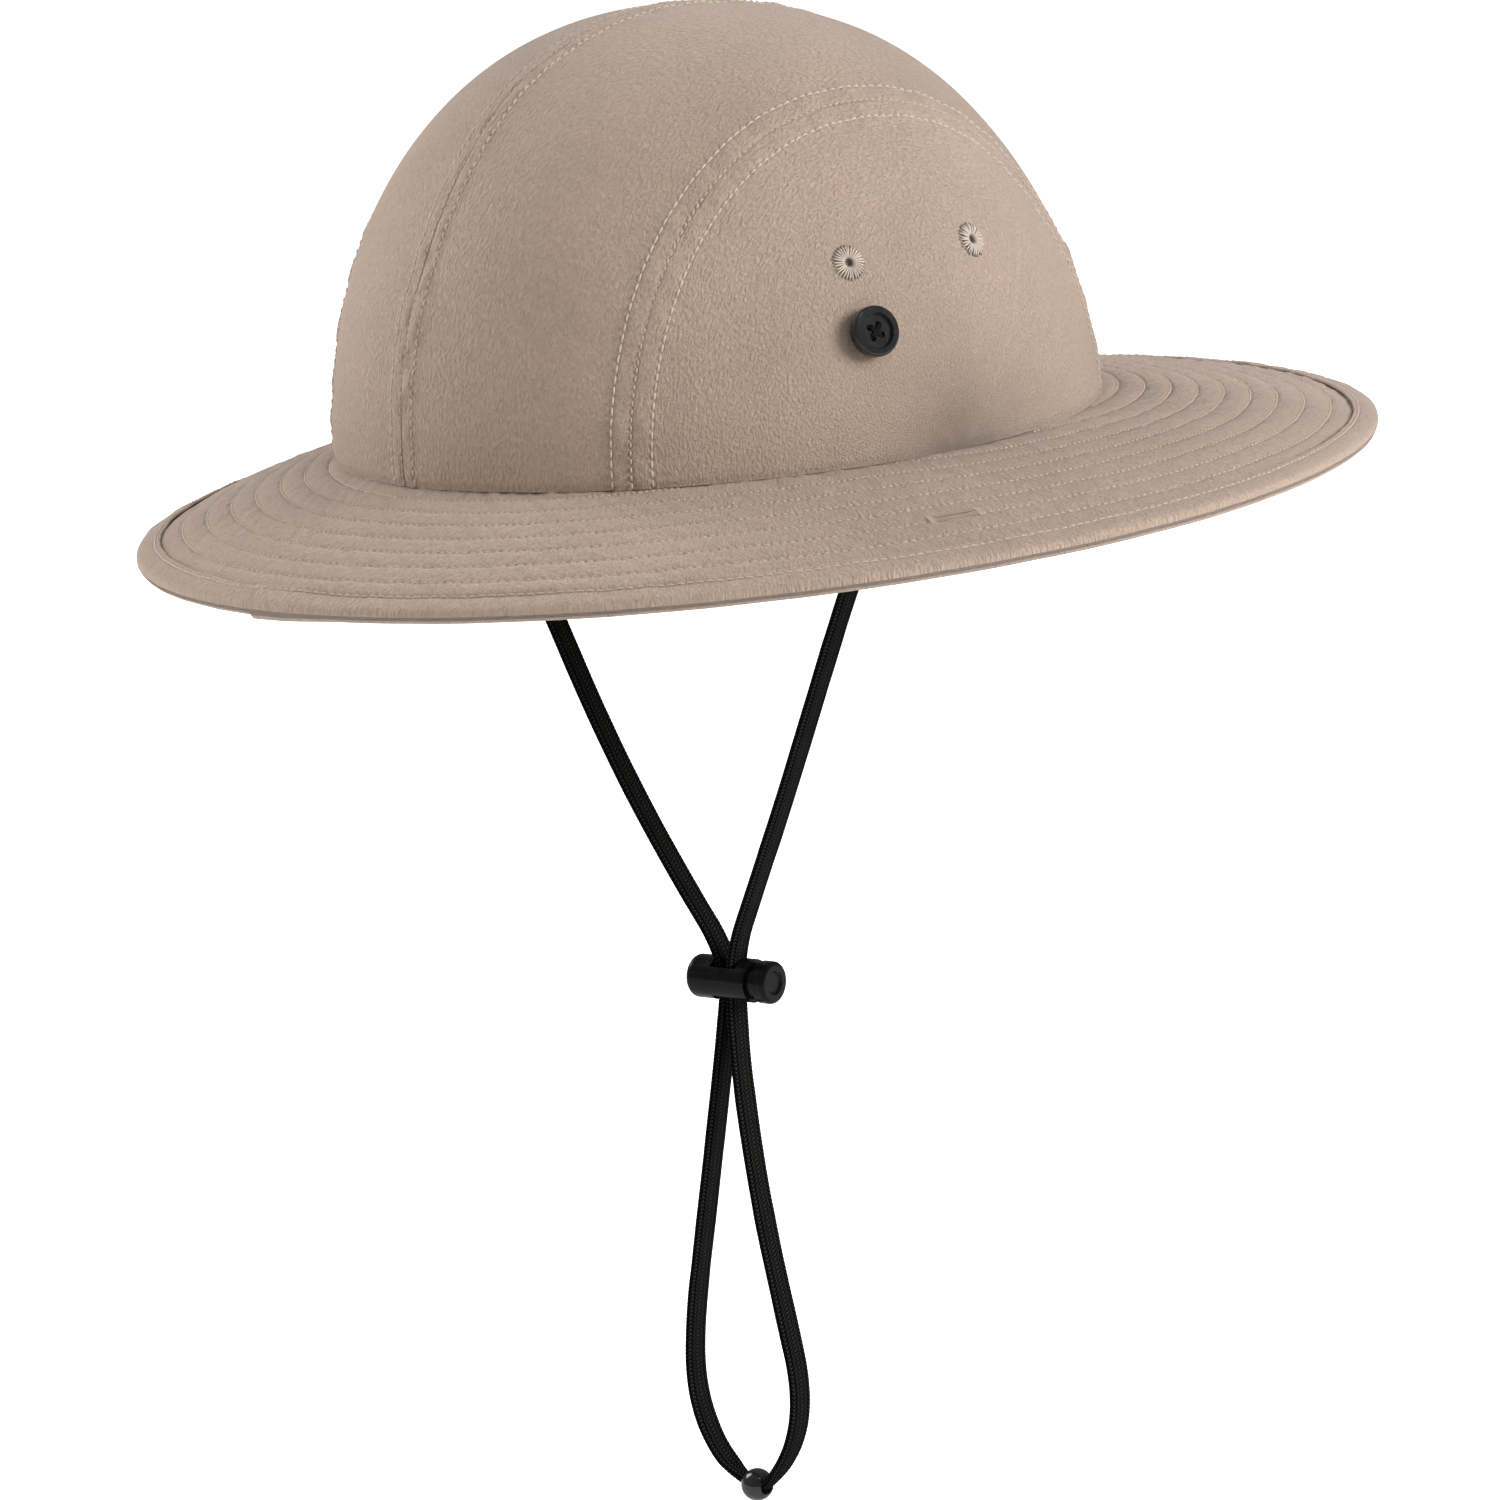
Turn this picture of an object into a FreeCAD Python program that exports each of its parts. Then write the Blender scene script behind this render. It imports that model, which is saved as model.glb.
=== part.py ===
import FreeCAD, Part
import math
import os
import Sketcher

# A boonie hat with a chin cord.  Millimetres, +Z up, the wearer's left is +X and the front is -Y.
# The origin is the centre of the head opening, on the line where crown and brim are sewn together.

os.makedirs("parts", exist_ok=True)
doc = FreeCAD.newDocument("boonie_hat")
Vector = FreeCAD.Vector

SIZES = [
    # crown: four panels on one dome
    ("crown_half_length", 98.4, "opening, half its length front to back"),
    ("crown_half_width", 85.8, "opening, half its width"),
    ("crown_height", 102.2, "opening to the top of the crown"),
    ("crown_lean", 3.8, "how far the top sits in front of the opening's centre"),
    ("dome_rise_power", 1.91, "shape of the dome along its height"),
    ("dome_round_power", 2.3, "shape of the dome across its radius"),
    ("panel_thickness", 1.0, "crown cloth with its turned seam allowance"),
    ("panel_gap", 0.2, "space between two panels at a seam"),
    ("side_seam_offset", 55.0, "side panels are what lies outside this plane"),
    ("crown_base_clearance", 0.6, "crown wall starts this far above the opening"),
    ("lining_base_clearance", 1.0, "tapes and sweatband start this far above the opening"),
    ("tape_width", 10.0, "binding tape behind each crown seam"),
    ("tape_thickness", 0.5, "binding tape"),
    ("layer_gap", 0.1, "space between cloth layers"),
    ("sweatband_inset", 1.8, "outer face of the sweatband, from the crown's outer face"),
    ("sweatband_thickness", 1.1, "doubled sweatband cloth"),
    ("sweatband_height", 32.0, "top edge above the opening"),
    # brim: a stack of three layers and an edge binding
    ("brim_half_length", 164.0, "outer edge, half its length"),
    ("brim_half_width", 135.0, "outer edge, half its width"),
    ("brim_shift", 13.5, "outer edge's centre behind the opening's centre"),
    ("brim_droop", 15.2, "mean drop of the outer edge"),
    ("brim_tilt", 3.1, "the edge's back is higher and its front lower by this much"),
    ("brim_curl", 0.3, "share of the droop that grows with the square of the width"),
    ("brim_cloth", 0.6, "top cloth and under cloth"),
    ("brim_core", 1.2, "stitched interlining between them"),
    ("brim_inner_share", -0.045, "inner edge, under the crown seam, as a share of the width"),
    ("brim_outer_share", 0.98, "outer edge of the layers, inside the binding"),
    ("binding_clear_share", 0.986, "inside of the binding's fold"),
    ("binding_inner_share", 0.87, "inner edge of the binding"),
    ("binding_cloth", 0.6, "binding cloth"),
    # embroidered vent eyelets and the side buttons
    ("eyelet_diameter", 9.0, "embroidered ring"),
    ("eyelet_hole", 2.2, "vent hole"),
    ("eyelet_height", 0.8, "thread build-up on the cloth"),
    ("eyelet_bevel", 0.7, "slope of the ring's inner and outer edges"),
    ("eyelet_front_y", -21.9, "front eyelet"),
    ("eyelet_rear_y", 16.7, "rear eyelet"),
    ("eyelet_z", 47.0, "height of both eyelets"),
    ("button_y", -21.8, "side button"),
    ("button_z", 30.8, "height of the side button"),
    ("button_diameter", 12.0, "four-hole button"),
    ("button_thickness", 2.8, "button rim"),
    ("button_rim", 1.7, "width of the raised rim"),
    ("button_slope", 0.4, "slope from the rim down to the dished centre"),
    ("button_rounding", 0.7, "edges of the rim"),
    ("button_recess", 0.9, "depth of the dished centre"),
    ("button_hole", 1.5, "each of the four holes"),
    ("button_hole_circle", 3.6, "circle that the four holes lie on"),
    ("button_standoff", 1.3, "thread shank between cloth and button"),
    ("thread_diameter", 1.1, "sewing thread bundle"),
    ("shank_diameter", 3.2, "thread wound under the button"),
    ("thread_clearance", 0.1, "between the thread and the cloth and button it holds"),
    # buttonhole in the brim, which takes the side button when the brim is turned up
    ("buttonhole_share", 0.6, "place across the brim"),
    ("buttonhole_angle", 15.0, "place round the brim, forward of the side"),
    ("buttonhole_length", 14.0, "stitched length"),
    ("buttonhole_width", 4.4, "stitched width"),
    ("buttonhole_height", 0.6, "thread build-up on the cloth"),
    ("slit_length", 11.4, "cut through the brim"),
    ("slit_width", 0.7, "cut through the brim"),
    # flat braided chin cord
    ("cord_width", 6.6, "flat braid"),
    ("cord_thickness", 1.8, "flat braid"),
    ("cord_end_gap", 0.5, "between the hanging cord and its sewn end"),
    ("cord_end_length", 10.0, "sewn end on the sweatband"),
    ("bartack_length", 9.0, "bar tack across the sewn end"),
    ("bartack_width", 1.8, "bar tack"),
    ("bartack_height", 0.5, "bar tack"),
    ("left_anchor_x", 78.9, "sewn end on the wearer's left"),
    ("left_anchor_y", -20.0, "sewn end on the wearer's left"),
    ("right_anchor_x", -80.6, "sewn end on the wearer's right"),
    ("right_anchor_y", -10.0, "sewn end on the wearer's right"),
    ("cord_plane_y", -12.5, "plane that the lock and the loop hang in"),
    ("cord_neck", 3.4, "cord gathered where it goes through the bead"),
    ("bead_x", 0.9, "bead at the bottom of the loop"),
    ("bead_z", -265.4, "bead at the bottom of the loop"),
    ("bead_diameter", 8.2, "bead"),
    ("bead_hole", 3.7, "bead"),
    # spring cord lock; its own X axis is the barrel's axis and its origin is where the cord goes through
    ("lock_x", 5.0, "where the cord goes through"),
    ("lock_z", -135.2, "where the cord goes through"),
    ("lock_turn", 12.0, "barrel axis, turned from +X towards +Y"),
    ("barrel_diameter", 10.8, "barrel"),
    ("barrel_back", 11.2, "closed end, from the cord"),
    ("barrel_front", 6.8, "open end, from the cord"),
    ("barrel_wall", 1.2, "closed end's thickness"),
    ("barrel_rounding", 1.8, "closed end's edge"),
    ("bore_diameter", 9.0, "bore for the plunger"),
    ("barrel_slot_width", 8.0, "slot for the cord, across the barrel"),
    ("slot_back", 4.0, "barrel's slot, from the cord towards the closed end"),
    ("slot_front", 3.6, "barrel's slot, from the cord towards the open end"),
    ("plunger_diameter", 8.8, "plunger stem"),
    ("plunger_back", 4.8, "inner end of the stem, from the cord"),
    ("plunger_slot_width", 7.6, "slot for the cord, across the stem"),
    ("plunger_slot_back", 3.6, "plunger's slot, from the cord to its clamping edge"),
    ("plunger_slot_front", 5.5, "plunger's slot, from the cord outwards"),
    ("plunger_travel", 2.4, "how far the plunger is pressed to free the cord"),
    ("cap_diameter", 10.6, "plunger cap"),
    ("cap_length", 3.4, "plunger cap"),
    ("cap_clearance", 0.2, "between cap and barrel when the plunger is pressed home"),
    ("cap_rounding", 1.1, "cap's edge"),
    ("cap_recess_diameter", 6.0, "dished thumb rest"),
    ("cap_recess_depth", 0.7, "dished thumb rest"),
    ("cap_recess_slope", 0.6, "dished thumb rest"),
    ("spring_diameter", 7.0, "spring, over the wire's centre"),
    ("spring_wire", 0.6, "eight-sided wire, over its corners"),
    ("spring_clearance", 0.2, "at each end of the spring"),
    ("spring_turns", 3.0, "spring"),
]

sheet = doc.addObject("Spreadsheet::Sheet", "sizes")
for row, (alias, value, note) in enumerate(SIZES, start=1):
    sheet.set(f"A{row}", alias)
    sheet.set(f"B{row}", str(value))
    sheet.setAlias(f"B{row}", alias)
    sheet.set(f"C{row}", note)
doc.recompute()

subparts = []


def size(alias):
    """One driving size, read from the sheet."""
    return float(sheet.get(alias))


def keep(obj, label, placement=None):
    """Name an object as a sub-part of the hat."""
    obj.Label = label
    if placement is not None:
        obj.Placement = placement
    subparts.append(obj)
    return obj


def shaped(label, shape, placement=None):
    """A sub-part whose surface is set in code."""
    obj = doc.addObject("Part::Feature", label)
    obj.Shape = shape
    return keep(obj, label, placement)


def bind(obj, **expressions):
    """Tie properties of an object to cells of the sheet."""
    for name, expression in expressions.items():
        obj.setExpression(name, expression)


def origin_plane(body, role):
    """One of a body's own origin planes."""
    return next(f for f in body.Origin.OriginFeatures if f.Role == role)


# ---------------------------------------------------------------- crown

def dome(inset):
    """The solid inside the crown's surface, drawn in by an inset.  Its outline is a superellipse."""
    top = size("crown_height") - inset
    points = []
    for step in range(13):
        angle = math.radians(90 * step / 12)
        radius = math.cos(angle) ** (2 / size("dome_round_power")) if step < 12 else 0.0
        height = math.sin(angle) ** (2 / size("dome_rise_power"))
        points.append(Vector(radius, 0, height))
    curve = Part.BSplineCurve()
    curve.interpolate(Points=points, InitialTangent=Vector(0, 0, 1), FinalTangent=Vector(-1, 0, 0))
    outline = Part.Wire([
        curve.toShape(),
        Part.makeLine(points[-1], Vector(0, 0, 0)),
        Part.makeLine(Vector(0, 0, 0), points[0]),
    ])
    unit = Part.Face(outline).revolve(Vector(0, 0, 0), Vector(0, 0, 1), 360)
    stretch = FreeCAD.Matrix(
        size("crown_half_width") - inset, 0, 0, 0,
        0, size("crown_half_length") - inset, -size("crown_lean"), 0,
        0, 0, top, 0,
        0, 0, 0, 1,
    )
    return unit.transformGeometry(stretch)


def dome_shell(outer_inset, inner_inset, low, high):
    """The crown's surface as a skin between two insets and two heights."""
    reach = 2 * size("crown_half_length")
    slab = Part.makeBox(2 * reach, 2 * reach, high - low, Vector(-reach, -reach, low))
    return dome(outer_inset).cut(dome(inner_inset)).common(slab)


def band(low_x, high_x):
    """A tall block between two planes across the hat."""
    reach = 2 * size("crown_half_length")
    return Part.makeBox(high_x - low_x, 2 * reach, 2 * reach, Vector(low_x, -reach, -reach))


def side_point(y, z):
    """The point on the crown's wearer's-left side at a given place, and its outward direction."""
    rise = z / size("crown_height")
    spread = (1 - rise ** size("dome_rise_power")) ** (1 / size("dome_round_power"))
    along = (y + size("crown_lean") * rise) / (size("crown_half_length") * spread)
    x = size("crown_half_width") * spread * math.sqrt(1 - along ** 2)
    return Vector(x, y, z)


def on_side(y, z, side):
    """Placement on the crown's side with local Z outward; side is +1 for the wearer's left."""
    point = side_point(y, z)
    upward = side_point(y, z + 1) - side_point(y, z - 1)
    rearward = side_point(y + 1, z) - side_point(y - 1, z)
    outward = rearward.cross(upward).normalize()
    if side < 0:
        point.x = -point.x
        outward.x = -outward.x
    return FreeCAD.Placement(point, FreeCAD.Rotation(Vector(0, 0, 1), outward))


SIDES = (("left", 1), ("right", -1))
EYELETS = (("front", size("eyelet_front_y")), ("rear", size("eyelet_rear_y")))


def on_both_sides(label, left_shape):
    """A piece on the wearer's left and its mirror image on the right."""
    shaped(f"{label}_left", left_shape)
    shaped(f"{label}_right", left_shape.mirror(Vector(0, 0, 0), Vector(1, 0, 0)))


def crown_panels():
    """Two top panels on either side of the centre seam, and the two side panels."""
    wall = dome_shell(0, size("panel_thickness"), size("crown_base_clearance"), size("crown_height"))
    half_gap = size("panel_gap") / 2
    seam = size("side_seam_offset")
    on_both_sides("crown_top_panel", wall.common(band(half_gap, seam - half_gap)))
    side_panel = wall.common(band(seam + half_gap, size("brim_half_width")))
    for _, y in EYELETS:
        reach = size("eyelet_diameter")
        radius = size("eyelet_hole") / 2 + size("layer_gap")
        vent = Part.makeCylinder(radius, 2 * reach, Vector(0, 0, -reach))
        vent.Placement = on_side(y, size("eyelet_z"), 1)
        side_panel = side_panel.cut(vent)
    on_both_sides("crown_side_panel", side_panel)


def seam_tapes():
    """Tape behind the centre seam and behind each side seam."""
    outer = size("panel_thickness") + size("layer_gap")
    inner = outer + size("tape_thickness")
    skin = dome_shell(outer, inner, size("lining_base_clearance"), size("crown_height"))
    half = size("tape_width") / 2
    seam = size("side_seam_offset")
    shaped("crown_seam_tape_centre", skin.common(band(-half, half)))
    on_both_sides("crown_seam_tape", skin.common(band(seam - half, seam + half)))


def sweatband():
    """Band of doubled cloth inside the opening."""
    outer = size("sweatband_inset")
    inner = outer + size("sweatband_thickness")
    low = size("lining_base_clearance")
    shaped("sweatband", dome_shell(outer, inner, low, size("sweatband_height")))


# ---------------------------------------------------------------- brim

def brim_ring(share, lift):
    """A level line round the brim at a share of its width: 0 at the crown, 1 at the outer edge."""
    width = size("crown_half_width") + share * (size("brim_half_width") - size("crown_half_width"))
    length = size("crown_half_length") + share * (size("brim_half_length") - size("crown_half_length"))
    curl = size("brim_curl")
    drop = size("brim_droop") * ((1 - curl) * share + curl * share * abs(share))
    shape = FreeCAD.Matrix(
        width, 0, 0, 0,
        0, length, 0, share * size("brim_shift"),
        0, share * size("brim_tilt"), 1, lift - drop,
        0, 0, 0, 1,
    )
    circle = Part.Circle(Vector(0, 0, 0), Vector(0, 0, 1), 1).toShape()
    return Part.Wire(circle.transformGeometry(shape))


def brim_slab(inner_share, outer_share, top, bottom):
    """A layer of the brim between two shares of its width and two heights over its top surface."""
    steps = 3
    shares = [inner_share + (outer_share - inner_share) * n / steps for n in range(steps + 1)]
    top_face = Part.makeLoft([brim_ring(s, top) for s in shares])
    bottom_face = Part.makeLoft([brim_ring(s, bottom) for s in shares])
    inner_wall = Part.makeLoft([brim_ring(inner_share, top), brim_ring(inner_share, bottom)])
    outer_wall = Part.makeLoft([brim_ring(outer_share, top), brim_ring(outer_share, bottom)])
    faces = top_face.Faces + bottom_face.Faces + inner_wall.Faces + outer_wall.Faces
    solid = Part.makeSolid(Part.makeShell(faces))
    if solid.Volume < 0:
        solid.reverse()
    return solid


def buttonhole_placement(side):
    """Place of the buttonhole on the brim: local X along the slit and local Z out of the cloth."""
    share = size("buttonhole_share")
    angle = -math.radians(size("buttonhole_angle"))

    def point(at_share, at_angle):
        ring = brim_ring(at_share, 0).Edges[0]
        full = ring.LastParameter - ring.FirstParameter
        return ring.valueAt(ring.FirstParameter + full * (at_angle / (2 * math.pi) % 1))

    centre = point(share, angle)
    step = 0.02
    along = (point(share, angle + step) - point(share, angle - step)).normalize()
    across = (point(share + step, angle) - point(share - step, angle)).normalize()
    up = across.cross(along).normalize()
    if side < 0:
        centre.x = -centre.x
        along = Vector(-along.x, along.y, along.z)
        up = Vector(-up.x, up.y, up.z)
    rotation = FreeCAD.Rotation(along, up.cross(along), up, "XZY")
    return FreeCAD.Placement(centre, rotation)


def brim():
    """Top cloth, interlining and under cloth, slit at the buttonholes, and the folded edge binding."""
    cloth = size("brim_cloth")
    core = size("brim_core")
    gap = size("layer_gap")
    inner = size("brim_inner_share")
    outer = size("brim_outer_share")
    layers = (
        ("brim_top_fabric", 0, cloth),
        ("brim_interlining", cloth + gap, core),
        ("brim_under_fabric", cloth + core + 2 * gap, cloth),
    )
    for label, depth, thickness in layers:
        layer = brim_slab(inner, outer, -depth, -depth - thickness)
        for _, side in SIDES:
            depth = size("slit_length")
            slit = Part.makeBox(
                size("slit_length"), size("slit_width"), depth,
                Vector(-size("slit_length") / 2, -size("slit_width") / 2, -depth / 2),
            )
            slit.Placement = buttonhole_placement(side)
            layer = layer.cut(slit)
        shaped(label, layer)
    stack = 2 * cloth + core + 2 * gap
    fold = size("binding_cloth") + gap
    wrap = brim_slab(size("binding_inner_share"), 1, fold, -stack - fold)
    hollow = brim_slab(inner, size("binding_clear_share"), gap, -stack - gap)
    shaped("brim_edge_binding", wrap.cut(hollow))


def buttonholes():
    """Embroidered frame round each slit."""
    for name, side in SIDES:
        frame = doc.addObject("Part::Box", f"buttonhole_frame_{name}")
        bind(frame, Length="sizes.buttonhole_length", Width="sizes.buttonhole_width",
             Height="sizes.buttonhole_height")
        frame.Placement.Base = Vector(-size("buttonhole_length") / 2, -size("buttonhole_width") / 2,
                                      size("layer_gap"))
        slit = doc.addObject("Part::Box", f"buttonhole_slit_{name}")
        bind(slit, Length="sizes.slit_length", Width="sizes.slit_width", Height="sizes.slit_length")
        slit.Placement.Base = Vector(-size("slit_length") / 2, -size("slit_width") / 2,
                                     -size("slit_length") / 2)
        cut = doc.addObject("Part::Cut", f"buttonhole_cut_{name}")
        cut.Base = frame
        cut.Tool = slit
        keep(cut, f"buttonhole_stitching_{name}", buttonhole_placement(side))


# ---------------------------------------------------------------- turned pieces

def outline(body, name, plane, corners):
    """A closed sketch on one of a body's planes, each corner tied to two expressions."""
    sketch = body.newObject("Sketcher::SketchObject", name)
    sketch.AttachmentSupport = [(origin_plane(body, plane), "")]
    sketch.MapMode = "FlatFace"
    places = [Vector(value(across), value(along), 0) for across, along in corners]
    count = len(places)
    for index, place in enumerate(places):
        sketch.addGeometry(Part.LineSegment(place, places[(index + 1) % count]), False)
    for index in range(count):
        sketch.addConstraint(Sketcher.Constraint("Coincident", index, 2, (index + 1) % count, 1))
    for index, (expressions, place) in enumerate(zip(corners, places)):
        for kind, expression, distance in zip(("DistanceX", "DistanceY"), expressions, place):
            number = sketch.addConstraint(Sketcher.Constraint(kind, -1, 1, index, 1, distance))
            sketch.setExpression(f"Constraints[{number}]", expression)
    return sketch


def value(expression):
    """The number that an expression of the sheet's cells gives now."""
    return float(sheet.evalExpression(expression))


def turned(name, corners):
    """A body made by turning an outline of (radius, height) corners round its own Z axis."""
    body = doc.addObject("PartDesign::Body", name)
    sketch = outline(body, f"{name}_outline", "XZ_Plane", corners)
    turn = body.newObject("PartDesign::Revolution", f"{name}_turned")
    turn.Profile = sketch
    turn.ReferenceAxis = (sketch, ["V_Axis"])
    turn.Angle = 360
    doc.recompute()
    return body


def rounded(body, name, radius, heights):
    """Round a turned body's outermost circular edges at the given heights."""
    base = body.Tip
    chosen = []
    for height in heights:
        rims = [
            (edge.Curve.Radius, f"Edge{number}")
            for number, edge in enumerate(base.Shape.Edges, start=1)
            if isinstance(edge.Curve, Part.Circle) and abs(edge.Curve.Center.z - height) < 1e-4
        ]
        chosen.append(max(rims)[1])
    fillet = body.newObject("PartDesign::Fillet", name)
    fillet.Base = (base, chosen)
    fillet.Radius = radius
    doc.recompute()
    return fillet


def through_slot(body, name, corners):
    """Cut a slot right through a body, across its YZ plane, and check that it took material."""
    before = body.Shape.Volume
    sketch = outline(body, f"{name}_outline", "YZ_Plane", corners)
    pocket = body.newObject("PartDesign::Pocket", name)
    pocket.Profile = sketch
    pocket.Length = 4 * size("barrel_diameter")
    pocket.Midplane = True
    doc.recompute()
    if body.Shape.Volume >= before:
        raise RuntimeError(f"{name} cut nothing")


# ---------------------------------------------------------------- eyelets and side buttons

def eyelets():
    """Embroidered rings round the vent holes."""
    corners = (
        ("sizes.eyelet_hole / 2", "sizes.layer_gap"),
        ("sizes.eyelet_diameter / 2", "sizes.layer_gap"),
        ("sizes.eyelet_diameter / 2", "sizes.eyelet_height * 0.6"),
        ("sizes.eyelet_diameter / 2 - sizes.eyelet_bevel", "sizes.eyelet_height"),
        ("sizes.eyelet_hole / 2 + sizes.eyelet_bevel", "sizes.eyelet_height"),
        ("sizes.eyelet_hole / 2", "sizes.eyelet_height * 0.5"),
    )
    for name, side in SIDES:
        for place, y in EYELETS:
            label = f"vent_eyelet_{name}_{place}"
            keep(turned(f"{label}_body", corners), label, on_side(y, size("eyelet_z"), side))


def button_body(name):
    """A four-hole button with a raised rim, its back at height 0."""
    floor = "sizes.button_thickness - sizes.button_recess"
    body = turned(name, (
        ("0", "0"),
        ("sizes.button_diameter / 2", "0"),
        ("sizes.button_diameter / 2", "sizes.button_thickness"),
        ("sizes.button_diameter / 2 - sizes.button_rim", "sizes.button_thickness"),
        ("sizes.button_diameter / 2 - sizes.button_rim - sizes.button_slope", floor),
        ("0", floor),
    ))
    rounded(body, f"{name}_edges", size("button_rounding"), (0, size("button_thickness")))
    before = body.Shape.Volume
    sketch = body.newObject("Sketcher::SketchObject", f"{name}_hole_outline")
    sketch.AttachmentSupport = [(origin_plane(body, "XY_Plane"), "")]
    sketch.MapMode = "FlatFace"
    centre = Vector(value("sizes.button_hole_circle / 2"), 0, 0)
    sketch.addGeometry(Part.Circle(centre, Vector(0, 0, 1), size("button_hole") / 2), False)
    ties = (
        (Sketcher.Constraint("DistanceX", -1, 1, 0, 3, centre.x), "sizes.button_hole_circle / 2"),
        (Sketcher.Constraint("Radius", 0, size("button_hole") / 2), "sizes.button_hole / 2"),
    )
    sketch.addConstraint(Sketcher.Constraint("PointOnObject", 0, 3, -1))
    for constraint, expression in ties:
        number = sketch.addConstraint(constraint)
        sketch.setExpression(f"Constraints[{number}]", expression)
    hole = body.newObject("PartDesign::Pocket", f"{name}_hole")
    hole.Profile = sketch
    hole.Length = 4 * size("button_thickness")
    hole.Midplane = True
    doc.recompute()
    holes = body.newObject("PartDesign::PolarPattern", f"{name}_holes")
    holes.Originals = [hole]
    holes.Axis = (sketch, ["N_Axis"])
    holes.Angle = 360
    holes.Occurrences = 4
    body.Tip = holes
    doc.recompute()
    expected = 3.9 * math.pi / 4 * size("button_hole") ** 2
    expected *= size("button_thickness") - size("button_recess")
    if before - body.Shape.Volume < expected:
        raise RuntimeError(f"{name} has fewer than four holes")
    return body


def button_thread(name):
    """Thread legs through the four holes, crossed on top and wound into a shank underneath."""
    pieces = []
    low = "sizes.thread_clearance"
    top = "sizes.button_standoff + sizes.button_thickness - sizes.button_recess"
    top += " + sizes.thread_diameter / 2 + sizes.thread_clearance / 2"
    shank = doc.addObject("Part::Cylinder", f"{name}_shank")
    bind(shank, Radius="sizes.shank_diameter / 2", Height=f"sizes.button_standoff - 2 * {low}")
    shank.Placement.Base = Vector(0, 0, value(low))
    pieces.append(shank)
    for quarter in range(4):
        turn = FreeCAD.Rotation(Vector(0, 0, 1), 90 * quarter)
        leg = doc.addObject("Part::Cylinder", f"{name}_leg_{quarter}")
        bind(leg, Radius="sizes.thread_diameter / 2", Height=f"{top} - 2 * {low}")
        leg.Placement.Base = turn.multVec(Vector(size("button_hole_circle") / 2, 0, 2 * value(low)))
        pieces.append(leg)
        knob = doc.addObject("Part::Sphere", f"{name}_bend_{quarter}")
        bind(knob, Radius="sizes.thread_diameter / 2")
        knob.Placement.Base = turn.multVec(Vector(size("button_hole_circle") / 2, 0, value(top)))
        pieces.append(knob)
    for cross in range(2):
        turn = FreeCAD.Rotation(Vector(0, 0, 1), 90 * cross)
        bar = doc.addObject("Part::Cylinder", f"{name}_bar_{cross}")
        bind(bar, Radius="sizes.thread_diameter / 2", Height="sizes.button_hole_circle")
        start = turn.multVec(Vector(-size("button_hole_circle") / 2, 0, value(top)))
        lie = turn.multiply(FreeCAD.Rotation(Vector(0, 1, 0), 90))
        bar.Placement = FreeCAD.Placement(start, lie)
        pieces.append(bar)
    thread = doc.addObject("Part::MultiFuse", f"{name}_fused")
    thread.Shapes = pieces
    return thread


def side_buttons():
    """A button on each side panel, standing off on its thread."""
    for name, side in SIDES:
        place = on_side(size("button_y"), size("button_z"), side)
        twist = FreeCAD.Placement(Vector(0, 0, 0), FreeCAD.Rotation(Vector(0, 0, 1), 45))
        lift = FreeCAD.Placement(Vector(0, 0, size("button_standoff")), FreeCAD.Rotation())
        keep(button_body(f"button_{name}"), f"side_button_{name}", place * twist * lift)
        keep(button_thread(f"thread_{name}"), f"button_thread_{name}", place * twist)


# ---------------------------------------------------------------- chin cord

# Points of each cord's line as (x, z), from the sewn end down to the lock, and round the loop.
LEFT_ROUTE = [
    (size("left_anchor_x"), 0), (75.8, -12), (62.3, -33), (46.7, -60.4),
    (31.7, -86.8), (15.6, -113.6), (7.3, -127.6), (5.95, -136),
]
RIGHT_ROUTE = [
    (size("right_anchor_x"), 0), (-77.6, -12), (-66.8, -32), (-54.6, -52),
    (-42.0, -73), (-27.0, -94.5), (-9.5, -115.5), (2.2, -128), (4.05, -136),
]
LOOP_RIGHT_ROUTE = [
    (4.05, -136), (1.4, -148), (-3.6, -168), (-11.6, -199), (-18.4, -225),
    (-20.2, -243.5), (-14.4, -257.6), (-3.4, -265.4),
]
LOOP_LEFT_ROUTE = [
    (5.95, -136), (5.3, -150), (7.0, -172), (10.6, -196), (16.0, -219),
    (20.2, -237), (16.8, -252), (5.2, -265.4),
]


def rounded_path(points):
    """Straight runs joined by tangent arcs, each as large as its two runs allow."""
    edges = []
    start = points[0]
    radii = []
    for before, corner, after in zip(points, points[1:], points[2:]):
        arriving = (corner - before).normalize()
        leaving = (after - corner).normalize()
        half_turn = arriving.getAngle(leaving) / 2
        reach = 0.45 * min((corner - before).Length, (after - corner).Length)
        radii.append(reach / math.tan(half_turn))
        arc_start = corner - arriving * reach
        arc_end = corner + leaving * reach
        inward = (leaving - arriving).normalize()
        sagitta = radii[-1] * (1 / math.cos(half_turn) - 1)
        edges.append(Part.makeLine(start, arc_start))
        edges.append(Part.Arc(arc_start, corner + inward * sagitta, arc_end).toShape())
        start = arc_end
    edges.append(Part.makeLine(start, points[-1]))
    return Part.Wire(edges), radii


def braid_section(start, direction, across):
    """The braid's cross-section: flat faces and half-round edges."""
    thin = direction.cross(across).normalize() * (size("cord_thickness") / 2)
    wide = across * ((size("cord_width") - size("cord_thickness")) / 2)
    tip = across * (size("cord_width") / 2)
    return Part.Wire([
        Part.makeLine(start - wide + thin, start + wide + thin),
        Part.Arc(start + wide + thin, start + tip, start + wide - thin).toShape(),
        Part.makeLine(start + wide - thin, start - wide - thin),
        Part.Arc(start - wide - thin, start - tip, start - wide + thin).toShape(),
    ])


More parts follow.
